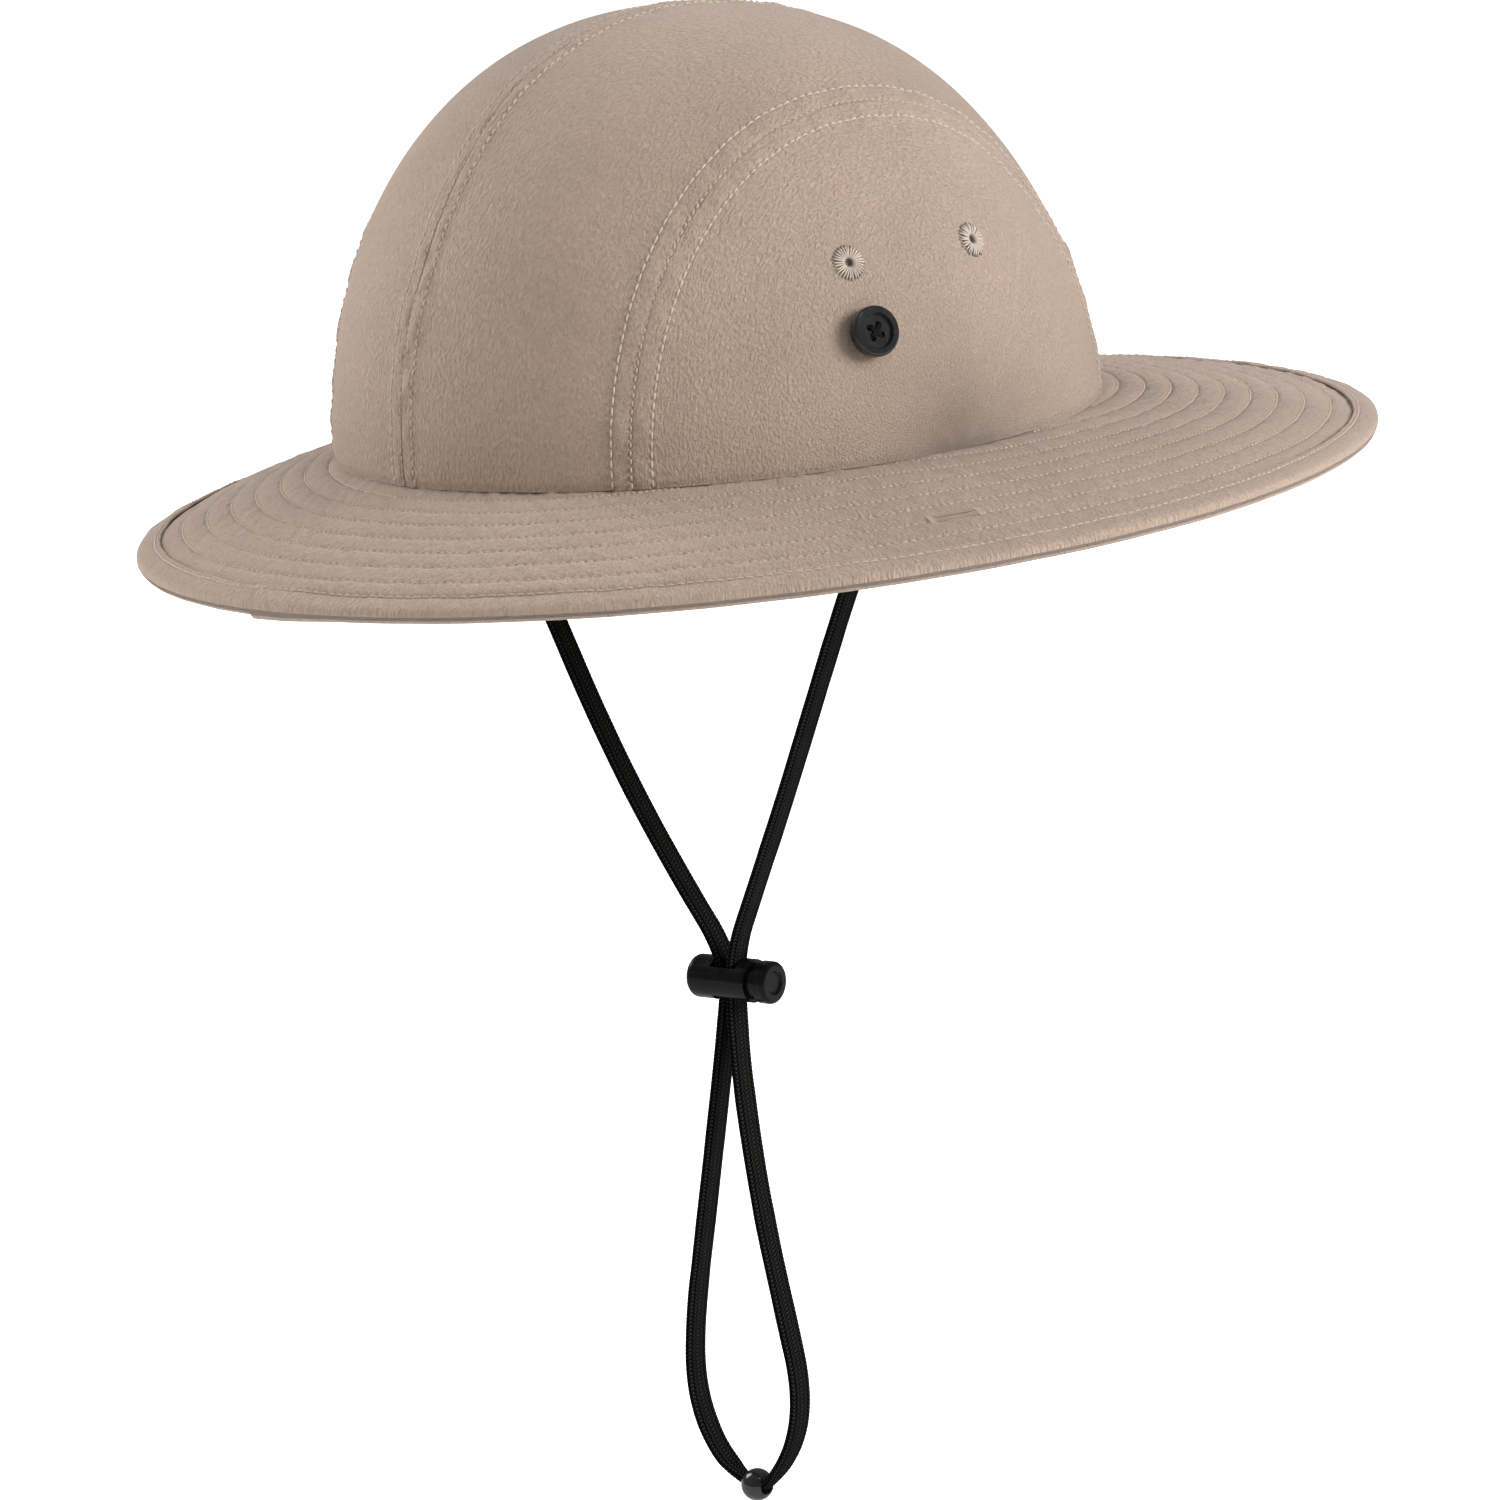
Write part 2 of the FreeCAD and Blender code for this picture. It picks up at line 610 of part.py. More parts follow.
def flat_cord(name, points, across):
    """A flat braid along its rounded path, its width held along one direction."""
    path, radii = rounded_path(points)
    section = braid_section(points[0], (points[1] - points[0]).normalize(), across)
    sweep = Part.BRepOffsetAPI.MakePipeShell(path)
    sweep.setBiNormalMode(across)
    sweep.add(section)
    sweep.build()
    sweep.makeSolid()
    solid = sweep.shape()
    expected = Part.Face(section).Area * path.Length
    print(name, "length", round(path.Length, 1), "radii", [round(r, 1) for r in radii],
          "volume ratio", round(solid.Volume / expected, 4))
    if abs(solid.Volume / expected - 1) > 0.01:
        raise RuntimeError(f"{name}: the sweep's volume is wrong")
    return solid


def hanging_line(route, anchor_y):
    """A route in the upright plane from a sewn end to the lock, and that plane's direction."""
    slope = (anchor_y - size("cord_plane_y")) / -route[-1][1]
    points = [Vector(x, anchor_y + slope * z, z) for x, z in route]
    return points, Vector(0, 1, -slope).normalize()


def chin_cord():
    """Two upper strands, and the loop that goes through the bead."""
    left, across = hanging_line(LEFT_ROUTE, size("left_anchor_y"))
    shaped("chin_cord_left", flat_cord("chin_cord_left", left, across))
    right, across = hanging_line(RIGHT_ROUTE, size("right_anchor_y"))
    shaped("chin_cord_right", flat_cord("chin_cord_right", right, across))
    across = Vector(0, 1, 0)
    y = size("cord_plane_y")
    halves = []
    for name, route in (("loop, right half", LOOP_RIGHT_ROUTE), ("loop, left half", LOOP_LEFT_ROUTE)):
        halves.append(flat_cord(name, [Vector(x, y, z) for x, z in route], across))
    ends = [route[-1][0] for route in (LOOP_RIGHT_ROUTE, LOOP_LEFT_ROUTE)]
    neck = Part.makeCylinder(size("cord_neck") / 2, max(ends) - min(ends),
                             Vector(min(ends), y, size("bead_z")), Vector(1, 0, 0))
    shaped("chin_cord_loop", halves[0].fuse(halves[1]).fuse(neck))


def cord_ends():
    """The ends sewn to the sweatband, with a bar tack over each."""
    low = size("cord_end_gap")
    for name, side in SIDES:
        end = doc.addObject("Part::Box", f"cord_end_{name}_box")
        bind(end, Length="sizes.cord_thickness", Width="sizes.cord_width",
             Height="sizes.cord_end_length")
        x = size(f"{name}_anchor_x")
        y = size(f"{name}_anchor_y")
        keep(end, f"cord_end_{name}", FreeCAD.Placement(
            Vector(x - size("cord_thickness") / 2, y - size("cord_width") / 2, low),
            FreeCAD.Rotation()))
        tack = doc.addObject("Part::Box", f"cord_bartack_{name}_box")
        bind(tack, Length="sizes.bartack_height", Width="sizes.bartack_length",
             Height="sizes.bartack_width")
        inward = x - side * (size("cord_thickness") / 2 + size("layer_gap") + size("bartack_height") / 2)
        keep(tack, f"cord_bartack_{name}", FreeCAD.Placement(
            Vector(inward - size("bartack_height") / 2, y - size("bartack_length") / 2,
                   low + size("cord_end_length") / 2),
            FreeCAD.Rotation()))


def bead():
    """Round bead that the loop's lowest point goes through."""
    ball = doc.addObject("Part::Sphere", "bead_ball")
    bind(ball, Radius="sizes.bead_diameter / 2")
    hole = doc.addObject("Part::Cylinder", "bead_hole")
    bind(hole, Radius="sizes.bead_hole / 2", Height="sizes.bead_diameter * 2")
    hole.Placement = FreeCAD.Placement(
        Vector(-size("bead_diameter"), 0, 0), FreeCAD.Rotation(Vector(0, 1, 0), 90))
    cut = doc.addObject("Part::Cut", "bead_cut")
    cut.Base = ball
    cut.Tool = hole
    place = Vector(size("bead_x"), size("cord_plane_y"), size("bead_z"))
    keep(cut, "chin_cord_bead", FreeCAD.Placement(place, FreeCAD.Rotation()))


# ---------------------------------------------------------------- cord lock

def lock_placement(along):
    """Placement at a distance along the lock's axis from the cord: local Z on the axis, X upward."""
    turn = math.radians(size("lock_turn"))
    axis = Vector(math.cos(turn), math.sin(turn), 0)
    centre = Vector(size("lock_x"), size("cord_plane_y"), size("lock_z"))
    rotation = FreeCAD.Rotation(Vector(0, 0, 1), axis.cross(Vector(0, 0, 1)), axis, "ZXY")
    return FreeCAD.Placement(centre + axis * along, rotation)


def barrel():
    """Barrel with a closed back, a bore for the plunger and a slot for the cord."""
    body = turned("barrel_body", (
        ("0", "0"),
        ("sizes.barrel_diameter / 2", "0"),
        ("sizes.barrel_diameter / 2", "sizes.barrel_back + sizes.barrel_front"),
        ("sizes.bore_diameter / 2", "sizes.barrel_back + sizes.barrel_front"),
        ("sizes.bore_diameter / 2", "sizes.barrel_wall"),
        ("0", "sizes.barrel_wall"),
    ))
    rounded(body, "barrel_back_edge", size("barrel_rounding"), (0,))
    low = "sizes.barrel_back - sizes.slot_back"
    high = "sizes.barrel_back + sizes.slot_front"
    through_slot(body, "barrel_slot", (
        ("-sizes.barrel_slot_width / 2", low),
        ("sizes.barrel_slot_width / 2", low),
        ("sizes.barrel_slot_width / 2", high),
        ("-sizes.barrel_slot_width / 2", high),
    ))
    keep(body, "cord_lock_barrel", lock_placement(-size("barrel_back")))


def plunger():
    """Plunger with a slotted stem, which clamps the cord, and a dished cap to press."""
    shoulder = "sizes.plunger_back + sizes.barrel_front + sizes.plunger_travel + sizes.cap_clearance"
    face = f"{shoulder} + sizes.cap_length"
    body = turned("plunger_body", (
        ("0", "0"),
        ("sizes.plunger_diameter / 2", "0"),
        ("sizes.plunger_diameter / 2", shoulder),
        ("sizes.cap_diameter / 2", shoulder),
        ("sizes.cap_diameter / 2", face),
        ("sizes.cap_recess_diameter / 2", face),
        ("sizes.cap_recess_diameter / 2 - sizes.cap_recess_slope", f"{face} - sizes.cap_recess_depth"),
        ("0", f"{face} - sizes.cap_recess_depth"),
    ))
    rounded(body, "cap_edge", size("cap_rounding"), (value(face),))
    low = "sizes.plunger_back - sizes.plunger_slot_back"
    high = "sizes.plunger_back + sizes.plunger_slot_front"
    through_slot(body, "plunger_slot", (
        ("-sizes.plunger_slot_width / 2", low),
        ("sizes.plunger_slot_width / 2", low),
        ("sizes.plunger_slot_width / 2", high),
        ("-sizes.plunger_slot_width / 2", high),
    ))
    keep(body, "cord_lock_plunger", lock_placement(-size("plunger_back")))


def spring():
    """Compression spring between the barrel's closed end and the plunger, of eight-sided wire."""
    helix = doc.addObject("Part::Helix", "spring_line")
    space = "sizes.barrel_back - sizes.barrel_wall - sizes.plunger_back"
    space += " - sizes.spring_wire - 2 * sizes.spring_clearance"
    bind(helix, Height=space, Pitch=f"({space}) / sizes.spring_turns",
         Radius="sizes.spring_diameter / 2")
    wire = doc.addObject("Part::RegularPolygon", "spring_wire_section")
    wire.Polygon = 8
    bind(wire, Circumradius="sizes.spring_wire / 2")
    wire.Placement = FreeCAD.Placement(
        Vector(size("spring_diameter") / 2, 0, 0), FreeCAD.Rotation(Vector(1, 0, 0), 90))
    doc.recompute()
    coil = doc.addObject("Part::Sweep", "spring_coil")
    coil.Sections = [wire]
    coil.Spine = (helix, [f"Edge{n + 1}" for n in range(len(helix.Shape.Edges))])
    coil.Solid = True
    coil.Frenet = True
    closed_end = size("barrel_back") - size("barrel_wall")
    start = closed_end - size("spring_wire") / 2 - size("spring_clearance")
    keep(coil, "cord_lock_spring", lock_placement(-start))


# ---------------------------------------------------------------- build, check and write

crown_panels()
seam_tapes()
sweatband()
brim()
buttonholes()
eyelets()
side_buttons()
cord_ends()
chin_cord()
bead()
barrel()
plunger()
spring()
doc.recompute()

for obj in doc.Objects:
    if "Invalid" in obj.State or "Error" in obj.State:
        raise RuntimeError(f"{obj.Label} failed: {obj.State}")
for obj in subparts:
    if obj.Shape.isNull() or not obj.Shape.isValid() or obj.Shape.Volume <= 0:
        raise RuntimeError(f"{obj.Label} has no valid solid")
    obj.Shape.exportStep(f"parts/{obj.Label}.step")
    print(obj.Label, "volume", round(obj.Shape.Volume, 1), "solids", len(obj.Shape.Solids))
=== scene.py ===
import itertools
import math

import bmesh
import bpy
import numpy as np
from mathutils import Matrix


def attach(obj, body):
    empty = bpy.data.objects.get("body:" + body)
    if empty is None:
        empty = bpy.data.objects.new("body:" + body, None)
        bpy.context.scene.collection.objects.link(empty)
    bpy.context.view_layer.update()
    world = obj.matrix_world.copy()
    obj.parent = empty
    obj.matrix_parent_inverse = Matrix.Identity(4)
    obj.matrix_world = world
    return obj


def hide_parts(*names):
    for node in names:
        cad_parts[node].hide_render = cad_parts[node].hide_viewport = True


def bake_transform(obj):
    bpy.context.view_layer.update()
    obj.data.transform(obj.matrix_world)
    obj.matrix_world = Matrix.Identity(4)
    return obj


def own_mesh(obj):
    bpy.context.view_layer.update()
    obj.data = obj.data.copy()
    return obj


# A boonie hat with a chin cord.  Sizes here are in millimetres and meshes are made in metres.
# +Z is up, the wearer's left is +X and the front is -Y.

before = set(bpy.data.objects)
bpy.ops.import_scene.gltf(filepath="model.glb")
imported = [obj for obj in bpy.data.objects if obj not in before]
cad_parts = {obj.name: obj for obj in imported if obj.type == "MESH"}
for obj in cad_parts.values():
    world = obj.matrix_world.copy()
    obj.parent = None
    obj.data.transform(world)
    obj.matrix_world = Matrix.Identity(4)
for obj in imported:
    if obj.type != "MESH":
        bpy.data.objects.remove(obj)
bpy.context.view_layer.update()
MM = 0.001
SIDES = {"left": 1, "right": -1}

# crown
HALF_LENGTH = 98.4
HALF_WIDTH = 85.8
HEIGHT = 102.2
LEAN = 3.8
RISE_POWER = 1.91
ROUND_POWER = 2.3
BASE = 0.6
SEAM_X = 55.0
PANEL_THICKNESS = 1.0
SEAM_ROW = 4.7
STITCH_PITCH = 2.35
THREAD_RADIUS = 0.24
NEAR_SEAM = (0.05, 0.28, 0.65, 1.6, 2.4, 3.2, 3.9, 4.4, SEAM_ROW, 5.0, 5.5, 6.3, 7.3, 8.5)
CENTRE_SHARE = 0.8
TAPE_HALF_WIDTH = 5.0

# brim
BRIM_HALF_LENGTH = 164.0
BRIM_HALF_WIDTH = 135.0
BRIM_SHIFT = 13.5
BRIM_DROOP = 15.2
BRIM_TILT = 3.1
BRIM_CURL = 0.3
BRIM_CLOTH = 0.6
BRIM_CORE = 1.2
LAYER_GAP = 0.1
BRIM_STACK = 2 * BRIM_CLOTH + BRIM_CORE + 2 * LAYER_GAP
INNER_SHARE = -0.045
FIRST_ROW = 12.6
ROW_PITCH = 6.45
REAR_ROW_PITCH = 7.1
BINDING_JOIN = math.radians(-88)

# small pieces
EYELET_YS = {"front": -21.9, "rear": 16.7}
EYELET_Z = 47.0
EYELET_HOLE = 1.1
BUTTON_Y = -21.8
BUTTON_Z = 30.8
BUTTON_GAP = 1.3
BUTTON_THICKNESS = 2.8
BUTTON_DISH = 0.9
BUTTON_HOLES = 1.8
BUTTONHOLE_SHARE = 0.6
BUTTONHOLE_ANGLE = math.radians(-15)
SLIT_LENGTH = 11.4
SLIT_WIDTH = 0.7

# chin cord: points as (x, z), as in part.py
ANCHORS = {"left": (78.9, -20.0), "right": (-80.6, -10.0)}
CORD_PLANE_Y = -12.5
LOCK = (5.0, CORD_PLANE_Y, -135.2)
LOCK_TURN = math.radians(12)
SPRING_BACK = -9.8
SPRING_LENGTH = 4.8
SPRING_TURNS = 3
SPRING_RADIUS = 3.5
SPRING_WIRE = 0.6
SPRING_SIDES = 10
BEAD = (0.9, CORD_PLANE_Y, -265.4)
BEAD_RADIUS = 4.1
BEAD_HOLE = 1.85
CORD_WIDTH = 6.6
CORD_THICKNESS = 1.8
BRAID_COLUMN = 1.25
BRAID_STITCH = 1.05
BRAID_STEP = 0.21
ROUTES = {
    "left": [
        (78.9, 0), (75.8, -12), (62.3, -33), (46.7, -60.4),
        (31.7, -86.8), (15.6, -113.6), (7.3, -127.6), (5.95, -136),
    ],
    "right": [
        (-80.6, 0), (-77.6, -12), (-66.8, -32), (-54.6, -52),
        (-42.0, -73), (-27.0, -94.5), (-9.5, -115.5), (2.2, -128), (4.05, -136),
    ],
    "loop": [
        (4.05, -136), (1.4, -148), (-3.6, -168), (-11.6, -199), (-18.4, -225),
        (-20.2, -243.5), (-14.4, -257.6), (-3.4, -265.4),
        (5.2, -265.4), (16.8, -252), (20.2, -237), (16.0, -219),
        (10.6, -196), (7.0, -172), (5.3, -150), (5.95, -136),
    ],
}


# -------- shapes in numbers

def unit(vectors):
    """Vectors made one long."""
    return vectors / np.linalg.norm(vectors, axis=-1, keepdims=True)


def points_of(*coordinates):
    """Points from their coordinates, each a number or an array."""
    return np.stack(np.broadcast_arrays(*coordinates), axis=-1)


def hump(distance, width):
    """1 where the distance is 0, falling away smoothly to both sides."""
    return np.exp(-((distance / width) ** 2))


def full_turn(count):
    """Evenly spaced angles round a circle."""
    return np.arange(count) * 2 * math.pi / count


def ease(low, high, values):
    """0 at low and beyond, 1 at high and beyond, and smooth between."""
    share = np.clip((values - low) / (high - low), 0, 1)
    return share * share * (3 - 2 * share)


def noise(points, size, seed):
    """Smooth noise between -1 and 1 with features of about this size."""
    cells = np.asarray(points) / size + 17.3 * seed
    low = np.floor(cells)
    part = cells - low
    part = part * part * (3 - 2 * part)
    total = 0
    for corner in itertools.product((0, 1), repeat=3):
        level = np.modf(np.sin((low + corner) @ (127.1, 311.7, 74.7)) * 43758.5453)[0]
        total = total + level * np.prod(np.where(corner, part, 1 - part), axis=-1)
    return total


def lengths_along(points):
    """Distance along a line of points, from 0 at its first point."""
    steps = np.linalg.norm(np.diff(points, axis=0), axis=1)
    return np.concatenate([[0], np.cumsum(steps)])


def follow(points, along, places):
    """Points at these distances along a line."""
    return np.stack([np.interp(places, along, points[:, axis]) for axis in range(3)], axis=-1)


def grid_faces(rows, columns, closed_rows=False, closed_columns=False):
    """Four-sided faces between the points of a grid, numbered row by row."""
    row, column = np.meshgrid(
        np.arange(rows if closed_rows else rows - 1),
        np.arange(columns if closed_columns else columns - 1),
        indexing="ij",
    )
    next_row = (row + 1) % rows
    next_column = (column + 1) % columns
    corners = [
        row * columns + column,
        row * columns + next_column,
        next_row * columns + next_column,
        next_row * columns + column,
    ]
    return np.stack(corners, axis=-1).reshape(-1, 4)


def opening(points, normal, start, end, radius):
    """Which points a rounded slot takes out, and how far its rim's points move to fit."""
    line = end - start
    share = np.clip((points - start) @ line / max(line @ line, 1e-9), 0, 1)
    away = points - (start + share[:, None] * line)
    away = away - (away @ normal)[:, None] * normal
    distance = np.linalg.norm(away, axis=1)
    shift = away * (radius / np.maximum(distance, 1e-6) - 1)[:, None]
    return distance < radius * 1.25, shift


def shell(top, bottom, faces, openings=()):
    """A closed sheet: two sides over the same faces, and walls along its edges."""
    top = top.reshape(-1, 3).copy()
    bottom = bottom.reshape(-1, 3).copy()
    for hole in openings:
        taken, shift = opening(top, *hole)
        gone = taken[faces].any(axis=1)
        rim = np.setdiff1d(faces[gone], np.flatnonzero(taken))
        top[rim] += shift[rim]
        bottom[rim] += shift[rim]
        faces = faces[~gone]
    _, first, merged = np.unique(np.round(top, 3), axis=0, return_index=True, return_inverse=True)
    merged = merged.reshape(-1)
    sheet = []
    for face in merged[faces].tolist():
        corners = [a for a, b in zip(face, face[1:] + face[:1]) if a != b]
        if len(set(corners)) == len(corners) > 2:
            sheet.append(corners)
    used = sorted({corner for face in sheet for corner in face})
    number = {old: new for new, old in enumerate(used)}
    sheet = [[number[corner] for corner in face] for face in sheet]
    count = len(used)
    edges = {(a, b) for face in sheet for a, b in zip(face, face[1:] + face[:1])}
    walls = [(b, a, a + count, b + count) for a, b in sorted(edges) if (b, a) not in edges]
    back = [[corner + count for corner in reversed(face)] for face in sheet]
    kept = first[used]
    return np.concatenate([top[kept], bottom[kept]]), sheet + back + walls, np.tile(kept, 2)


def ring_solid(profile_points):
    """A closed ring from sections that are closed loops of points."""
    return profile_points.reshape(-1, 3), grid_faces(*profile_points.shape[:2], True, True)


def capped_tube(rings):
    """A closed tube from rings of points, its ends filled."""
    rows, columns = rings.shape[:2]
    faces = grid_faces(rows, columns, False, True).tolist()
    faces.append(list(range(columns)))
    faces.append(list(range((rows - 1) * columns, rows * columns)))
    return rings.reshape(-1, 3), faces


# -------- making pieces

def metres(point):
    """A place in millimetres as the frame's own metres."""
    return tuple(MM * float(value) for value in point)


def new_object(name, data):
    """An object in the scene."""
    obj = bpy.data.objects.new(name, data)
    bpy.context.scene.collection.objects.link(obj)
    return obj


def make_piece(name, points, faces, material, slot, body="hat", uv=None, sharp=50, around=None):
    """A smooth-shaded mesh piece that rides on a body.  around is how far uv runs round a ring."""
    mesh = bpy.data.meshes.new(name)
    mesh.from_pydata((np.asarray(points) * MM).tolist(), [], [list(face) for face in faces])
    build = bmesh.new()
    build.from_mesh(mesh)
    bmesh.ops.recalc_face_normals(build, faces=build.faces)
    build.to_mesh(mesh)
    build.free()
    mesh.shade_smooth()
    mesh.set_sharp_from_angle(angle=math.radians(sharp))
    if uv is not None:
        corners = np.empty(len(mesh.loops), dtype=int)
        mesh.loops.foreach_get("vertex_index", corners)
        flat = np.asarray(uv)[corners]
        if around:
            starts = np.array([face.loop_start for face in mesh.polygons])
            counts = np.array([face.loop_total for face in mesh.polygons])
            furthest = np.repeat(np.maximum.reduceat(flat[:, 0], starts), counts)
            flat[:, 0] += around * (flat[:, 0] < furthest - around / 2)
        layer = mesh.uv_layers.new(name="cloth")
        layer.data.foreach_set("uv", (flat * MM).reshape(-1))
    mesh.materials.append(material)
    obj = new_object(name, mesh)
    if body:
        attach(obj, body)
    return obj


def replacement(node, points, faces, material, slot, **settings):
    """A piece that takes the place of the CAD node with its name."""
    piece = make_piece(node, points, faces, material, slot, **settings)
    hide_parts(node)
    return piece


def stitching(name, rows, thread, radius=THREAD_RADIUS, pitch=STITCH_PITCH, share=0.88):
    """One piece of separate stitches along rows of (points, normals, distance along the row)."""
    lift = np.array([-0.03, 0.14, 0.18, 0.14, -0.03])
    width = np.array([0.55, 0.95, 1.0, 0.95, 0.55]) * radius
    turn = full_turn(6)
    all_rings = []
    for points, normals, along in rows:
        starts = np.arange(along[0], along[-1] - pitch, pitch)
        places = starts[:, None] + pitch * (0.5 + share * np.linspace(-0.5, 0.5, 5))
        line = follow(points, along, places)
        up = unit(follow(normals, along, places))
        forward = unit(line[:, -1] - line[:, 0])[:, None]
        across = unit(np.cross(forward, up))
        up = np.cross(across, forward)
        centre = line + up * lift[:, None]
        ring = across[:, :, None] * np.cos(turn)[:, None] + up[:, :, None] * np.sin(turn)[:, None]
        all_rings.append(centre[:, :, None] + ring * width[:, None, None])
    rings = np.concatenate(all_rings)
    points, faces = capped_tube(rings[0])
    starts = range(0, len(rings) * len(points), len(points))
    every = [[corner + start for corner in face] for start in starts for face in faces]
    make_piece(name, rings.reshape(-1, 3), every, thread, "thread")


def cloth_waves(points):
    """Gentle unevenness of worn cloth, fading towards the head opening."""
    height = np.asarray(points)[..., 2]
    return (0.55 * noise(points, 38, 1) + 0.15 * noise(points, 15, 2)) * ease(-4, 24, height)


# -------- crown

def dome_gap(points):
    """Negative inside the dome, zero on it and positive outside."""
    x, y, z = np.moveaxis(points, -1, 0)
    rise = np.clip(z / HEIGHT, 0, 1)
    reach = (1 - rise ** RISE_POWER) ** (2 / ROUND_POWER)
    return (x / HALF_WIDTH) ** 2 + ((y + LEAN * z / HEIGHT) / HALF_LENGTH) ** 2 - reach


def dome_normal(points):
    """Direction out of the dome at points on it."""
    step = 0.02
    slopes = [dome_gap(points + axis) - dome_gap(points - axis) for axis in np.eye(3) * step]
    return unit(np.stack(slopes, axis=-1))


def dome_point(x, angle):
    """The dome's point in the plane at x, at an angle from the front over the top."""
    near = np.zeros(np.broadcast(x, angle).shape)
    far = near + 2 * HALF_LENGTH
    for _ in range(40):
        middle = (near + far) / 2
        point = points_of(x, -middle * np.cos(angle), BASE + middle * np.sin(angle))
        outside = dome_gap(point) > 0
        far = np.where(outside, middle, far)
        near = np.where(outside, near, middle)
    return points_of(x, -near * np.cos(angle), BASE + near * np.sin(angle))


def side_place(y, z, side):
    """Origin and axes (forward, up, out) on the crown's side at this y and height."""
    rise = (1 - (z / HEIGHT) ** RISE_POWER) ** (2 / ROUND_POWER)
    x = HALF_WIDTH * math.sqrt(rise - ((y + LEAN * z / HEIGHT) / HALF_LENGTH) ** 2)
    point = np.array([side * x, y, z])
    out = dome_normal(point)
    forward = unit(np.cross(out, (0, 0, 1.0)))
    point = point + out * cloth_waves(point)
    return point, np.array([forward, np.cross(forward, out), out])


PANEL_ANGLES = np.linspace(0, math.pi, 541)
SEAM_LINE = dome_point(SEAM_X, PANEL_ANGLES)
SEAM_ALONG = lengths_along(SEAM_LINE)
SEAM_SQUEEZE = np.sqrt(1 - dome_normal(SEAM_LINE)[:, 0] ** 2)
CENTRE_ALONG = lengths_along(dome_point(0.0, PANEL_ANGLES))


def seam_relief(distance, along, seed, wave_seed):
    """Height of cloth beside a seam: padded ridge, sunk stitch row and puckers."""
    distance = np.abs(distance)
    ridge = 0.45 * (1 - ease(4.6, 6.2, distance))
    fold = -0.32 * hump(distance, 0.35)
    sink = 0.38 + 0.16 * np.cos(2 * math.pi * along / STITCH_PITCH)
    row = -sink * hump(distance - SEAM_ROW, 0.5)
    place = points_of(along, 0.3 * distance, 0.0)
    between = hump(distance - 2.4, 1.9) * (1 - hump(distance, 0.8))
    beyond = hump(distance - 6.6, 2.4)
    puckers = noise(place, 2.8, seed) * (0.55 * between + 0.22 * beyond)
    puckers = puckers + 0.30 * noise(place, 13.0, wave_seed) * hump(distance, 10.0)
    return ridge + fold + row + puckers


def crown_relief(points, x, side):
    """Height of the crown's cloth over the plain dome."""
    from_side_seam = (x - SEAM_X) / SEAM_SQUEEZE
    height = cloth_waves(points)
    height = height + seam_relief(from_side_seam, SEAM_ALONG, 4 + side, 5 + side)
    height = height + seam_relief(x / CENTRE_SHARE, CENTRE_ALONG, 8 + side, 10)
    base = points[..., 2] - BASE
    gathers = 0.22 * noise(points * (1, 1, 0.25), 5.0, 12) * hump(base, 9.0)
    tuck = -0.55 * hump(base, 1.3)
    return np.maximum(height + gathers + tuck, -0.85)


def top_panel_lines():
    """x of the top panel's grid lines at each angle, from the centre seam outwards."""
    ones = np.ones_like(PANEL_ANGLES)
    centre = [ones * distance * CENTRE_SHARE for distance in NEAR_SEAM]
    side = [SEAM_X - distance * SEAM_SQUEEZE for distance in reversed(NEAR_SEAM)]
    shares = np.linspace(0, 1, 38)[1:-1]
    middle = [centre[-1] + share * (side[0] - centre[-1]) for share in shares]
    return np.array(centre + middle + side)


def side_panel_lines():
    """x of the side panel's grid lines at each angle, from the side seam outwards."""
    seam = [SEAM_X + distance * SEAM_SQUEEZE for distance in NEAR_SEAM]
    middle_of_base = HALF_WIDTH * (1 - (BASE / HEIGHT) ** RISE_POWER) ** (1 / ROUND_POWER)
    spread = 1 - (seam[-1] / middle_of_base) ** 2
    shares = np.linspace(1, 0, 52)[1:]
    rest = [middle_of_base * np.sqrt(1 - share ** 2 * spread) for share in shares]
    return np.array(seam + rest)


def crown_panel(name, x, side, fabric, stitch_lines, openings=()):
    """One crown panel, and its topstitched rows."""
    points = dome_point(x, PANEL_ANGLES) * (side, 1, 1)
    normals = dome_normal(points)
    outer = points + normals * crown_relief(points, x, side)[..., None]
    inner = points - normals * PANEL_THICKNESS
    solid, faces, kept = shell(outer, inner, grid_faces(*x.shape), openings)
    across = np.cumsum(np.linalg.norm(np.diff(points, axis=0, prepend=points[:1]), axis=-1), axis=0)
    on_top = name.startswith("crown_top")
    uv = points_of(across, CENTRE_ALONG if on_top else SEAM_ALONG).reshape(-1, 2)[kept]
    replacement(name, solid, faces, fabric, "shell_fabric", uv=uv)
    row = NEAR_SEAM.index(SEAM_ROW)
    if on_top:
        stitch_lines.append((outer[row], normals[row], CENTRE_ALONG))
        row = -1 - row
    stitch_lines.append((outer[row], normals[row], SEAM_ALONG))


def crown(fabric, thread, seam_thread):
    """The four crown panels, the stitches beside their seams and those in the seams."""
    stitch_lines = []
    for side_name, side in SIDES.items():
        crown_panel(f"crown_top_panel_{side_name}", top_panel_lines(), side, fabric, stitch_lines)
        vents = []
        for y in EYELET_YS.values():
            point, (_, _, out) = side_place(y, EYELET_Z, side)
            vents.append((out, point, point, EYELET_HOLE + LAYER_GAP))
        crown_panel(f"crown_side_panel_{side_name}", side_panel_lines(), side, fabric,
                    stitch_lines, vents)
    stitching("crown_topstitching", stitch_lines, thread)
    seams = []
    for x, along in ((0.0, CENTRE_ALONG), (SEAM_X, SEAM_ALONG), (-SEAM_X, SEAM_ALONG)):
        line = dome_point(x, PANEL_ANGLES)
        out = dome_normal(line)
        seams.append((line + out * (cloth_waves(line) + 0.17)[:, None], out, along))
    stitching("crown_seam_stitching", seams, seam_thread, radius=0.22, pitch=1.9, share=0.7)


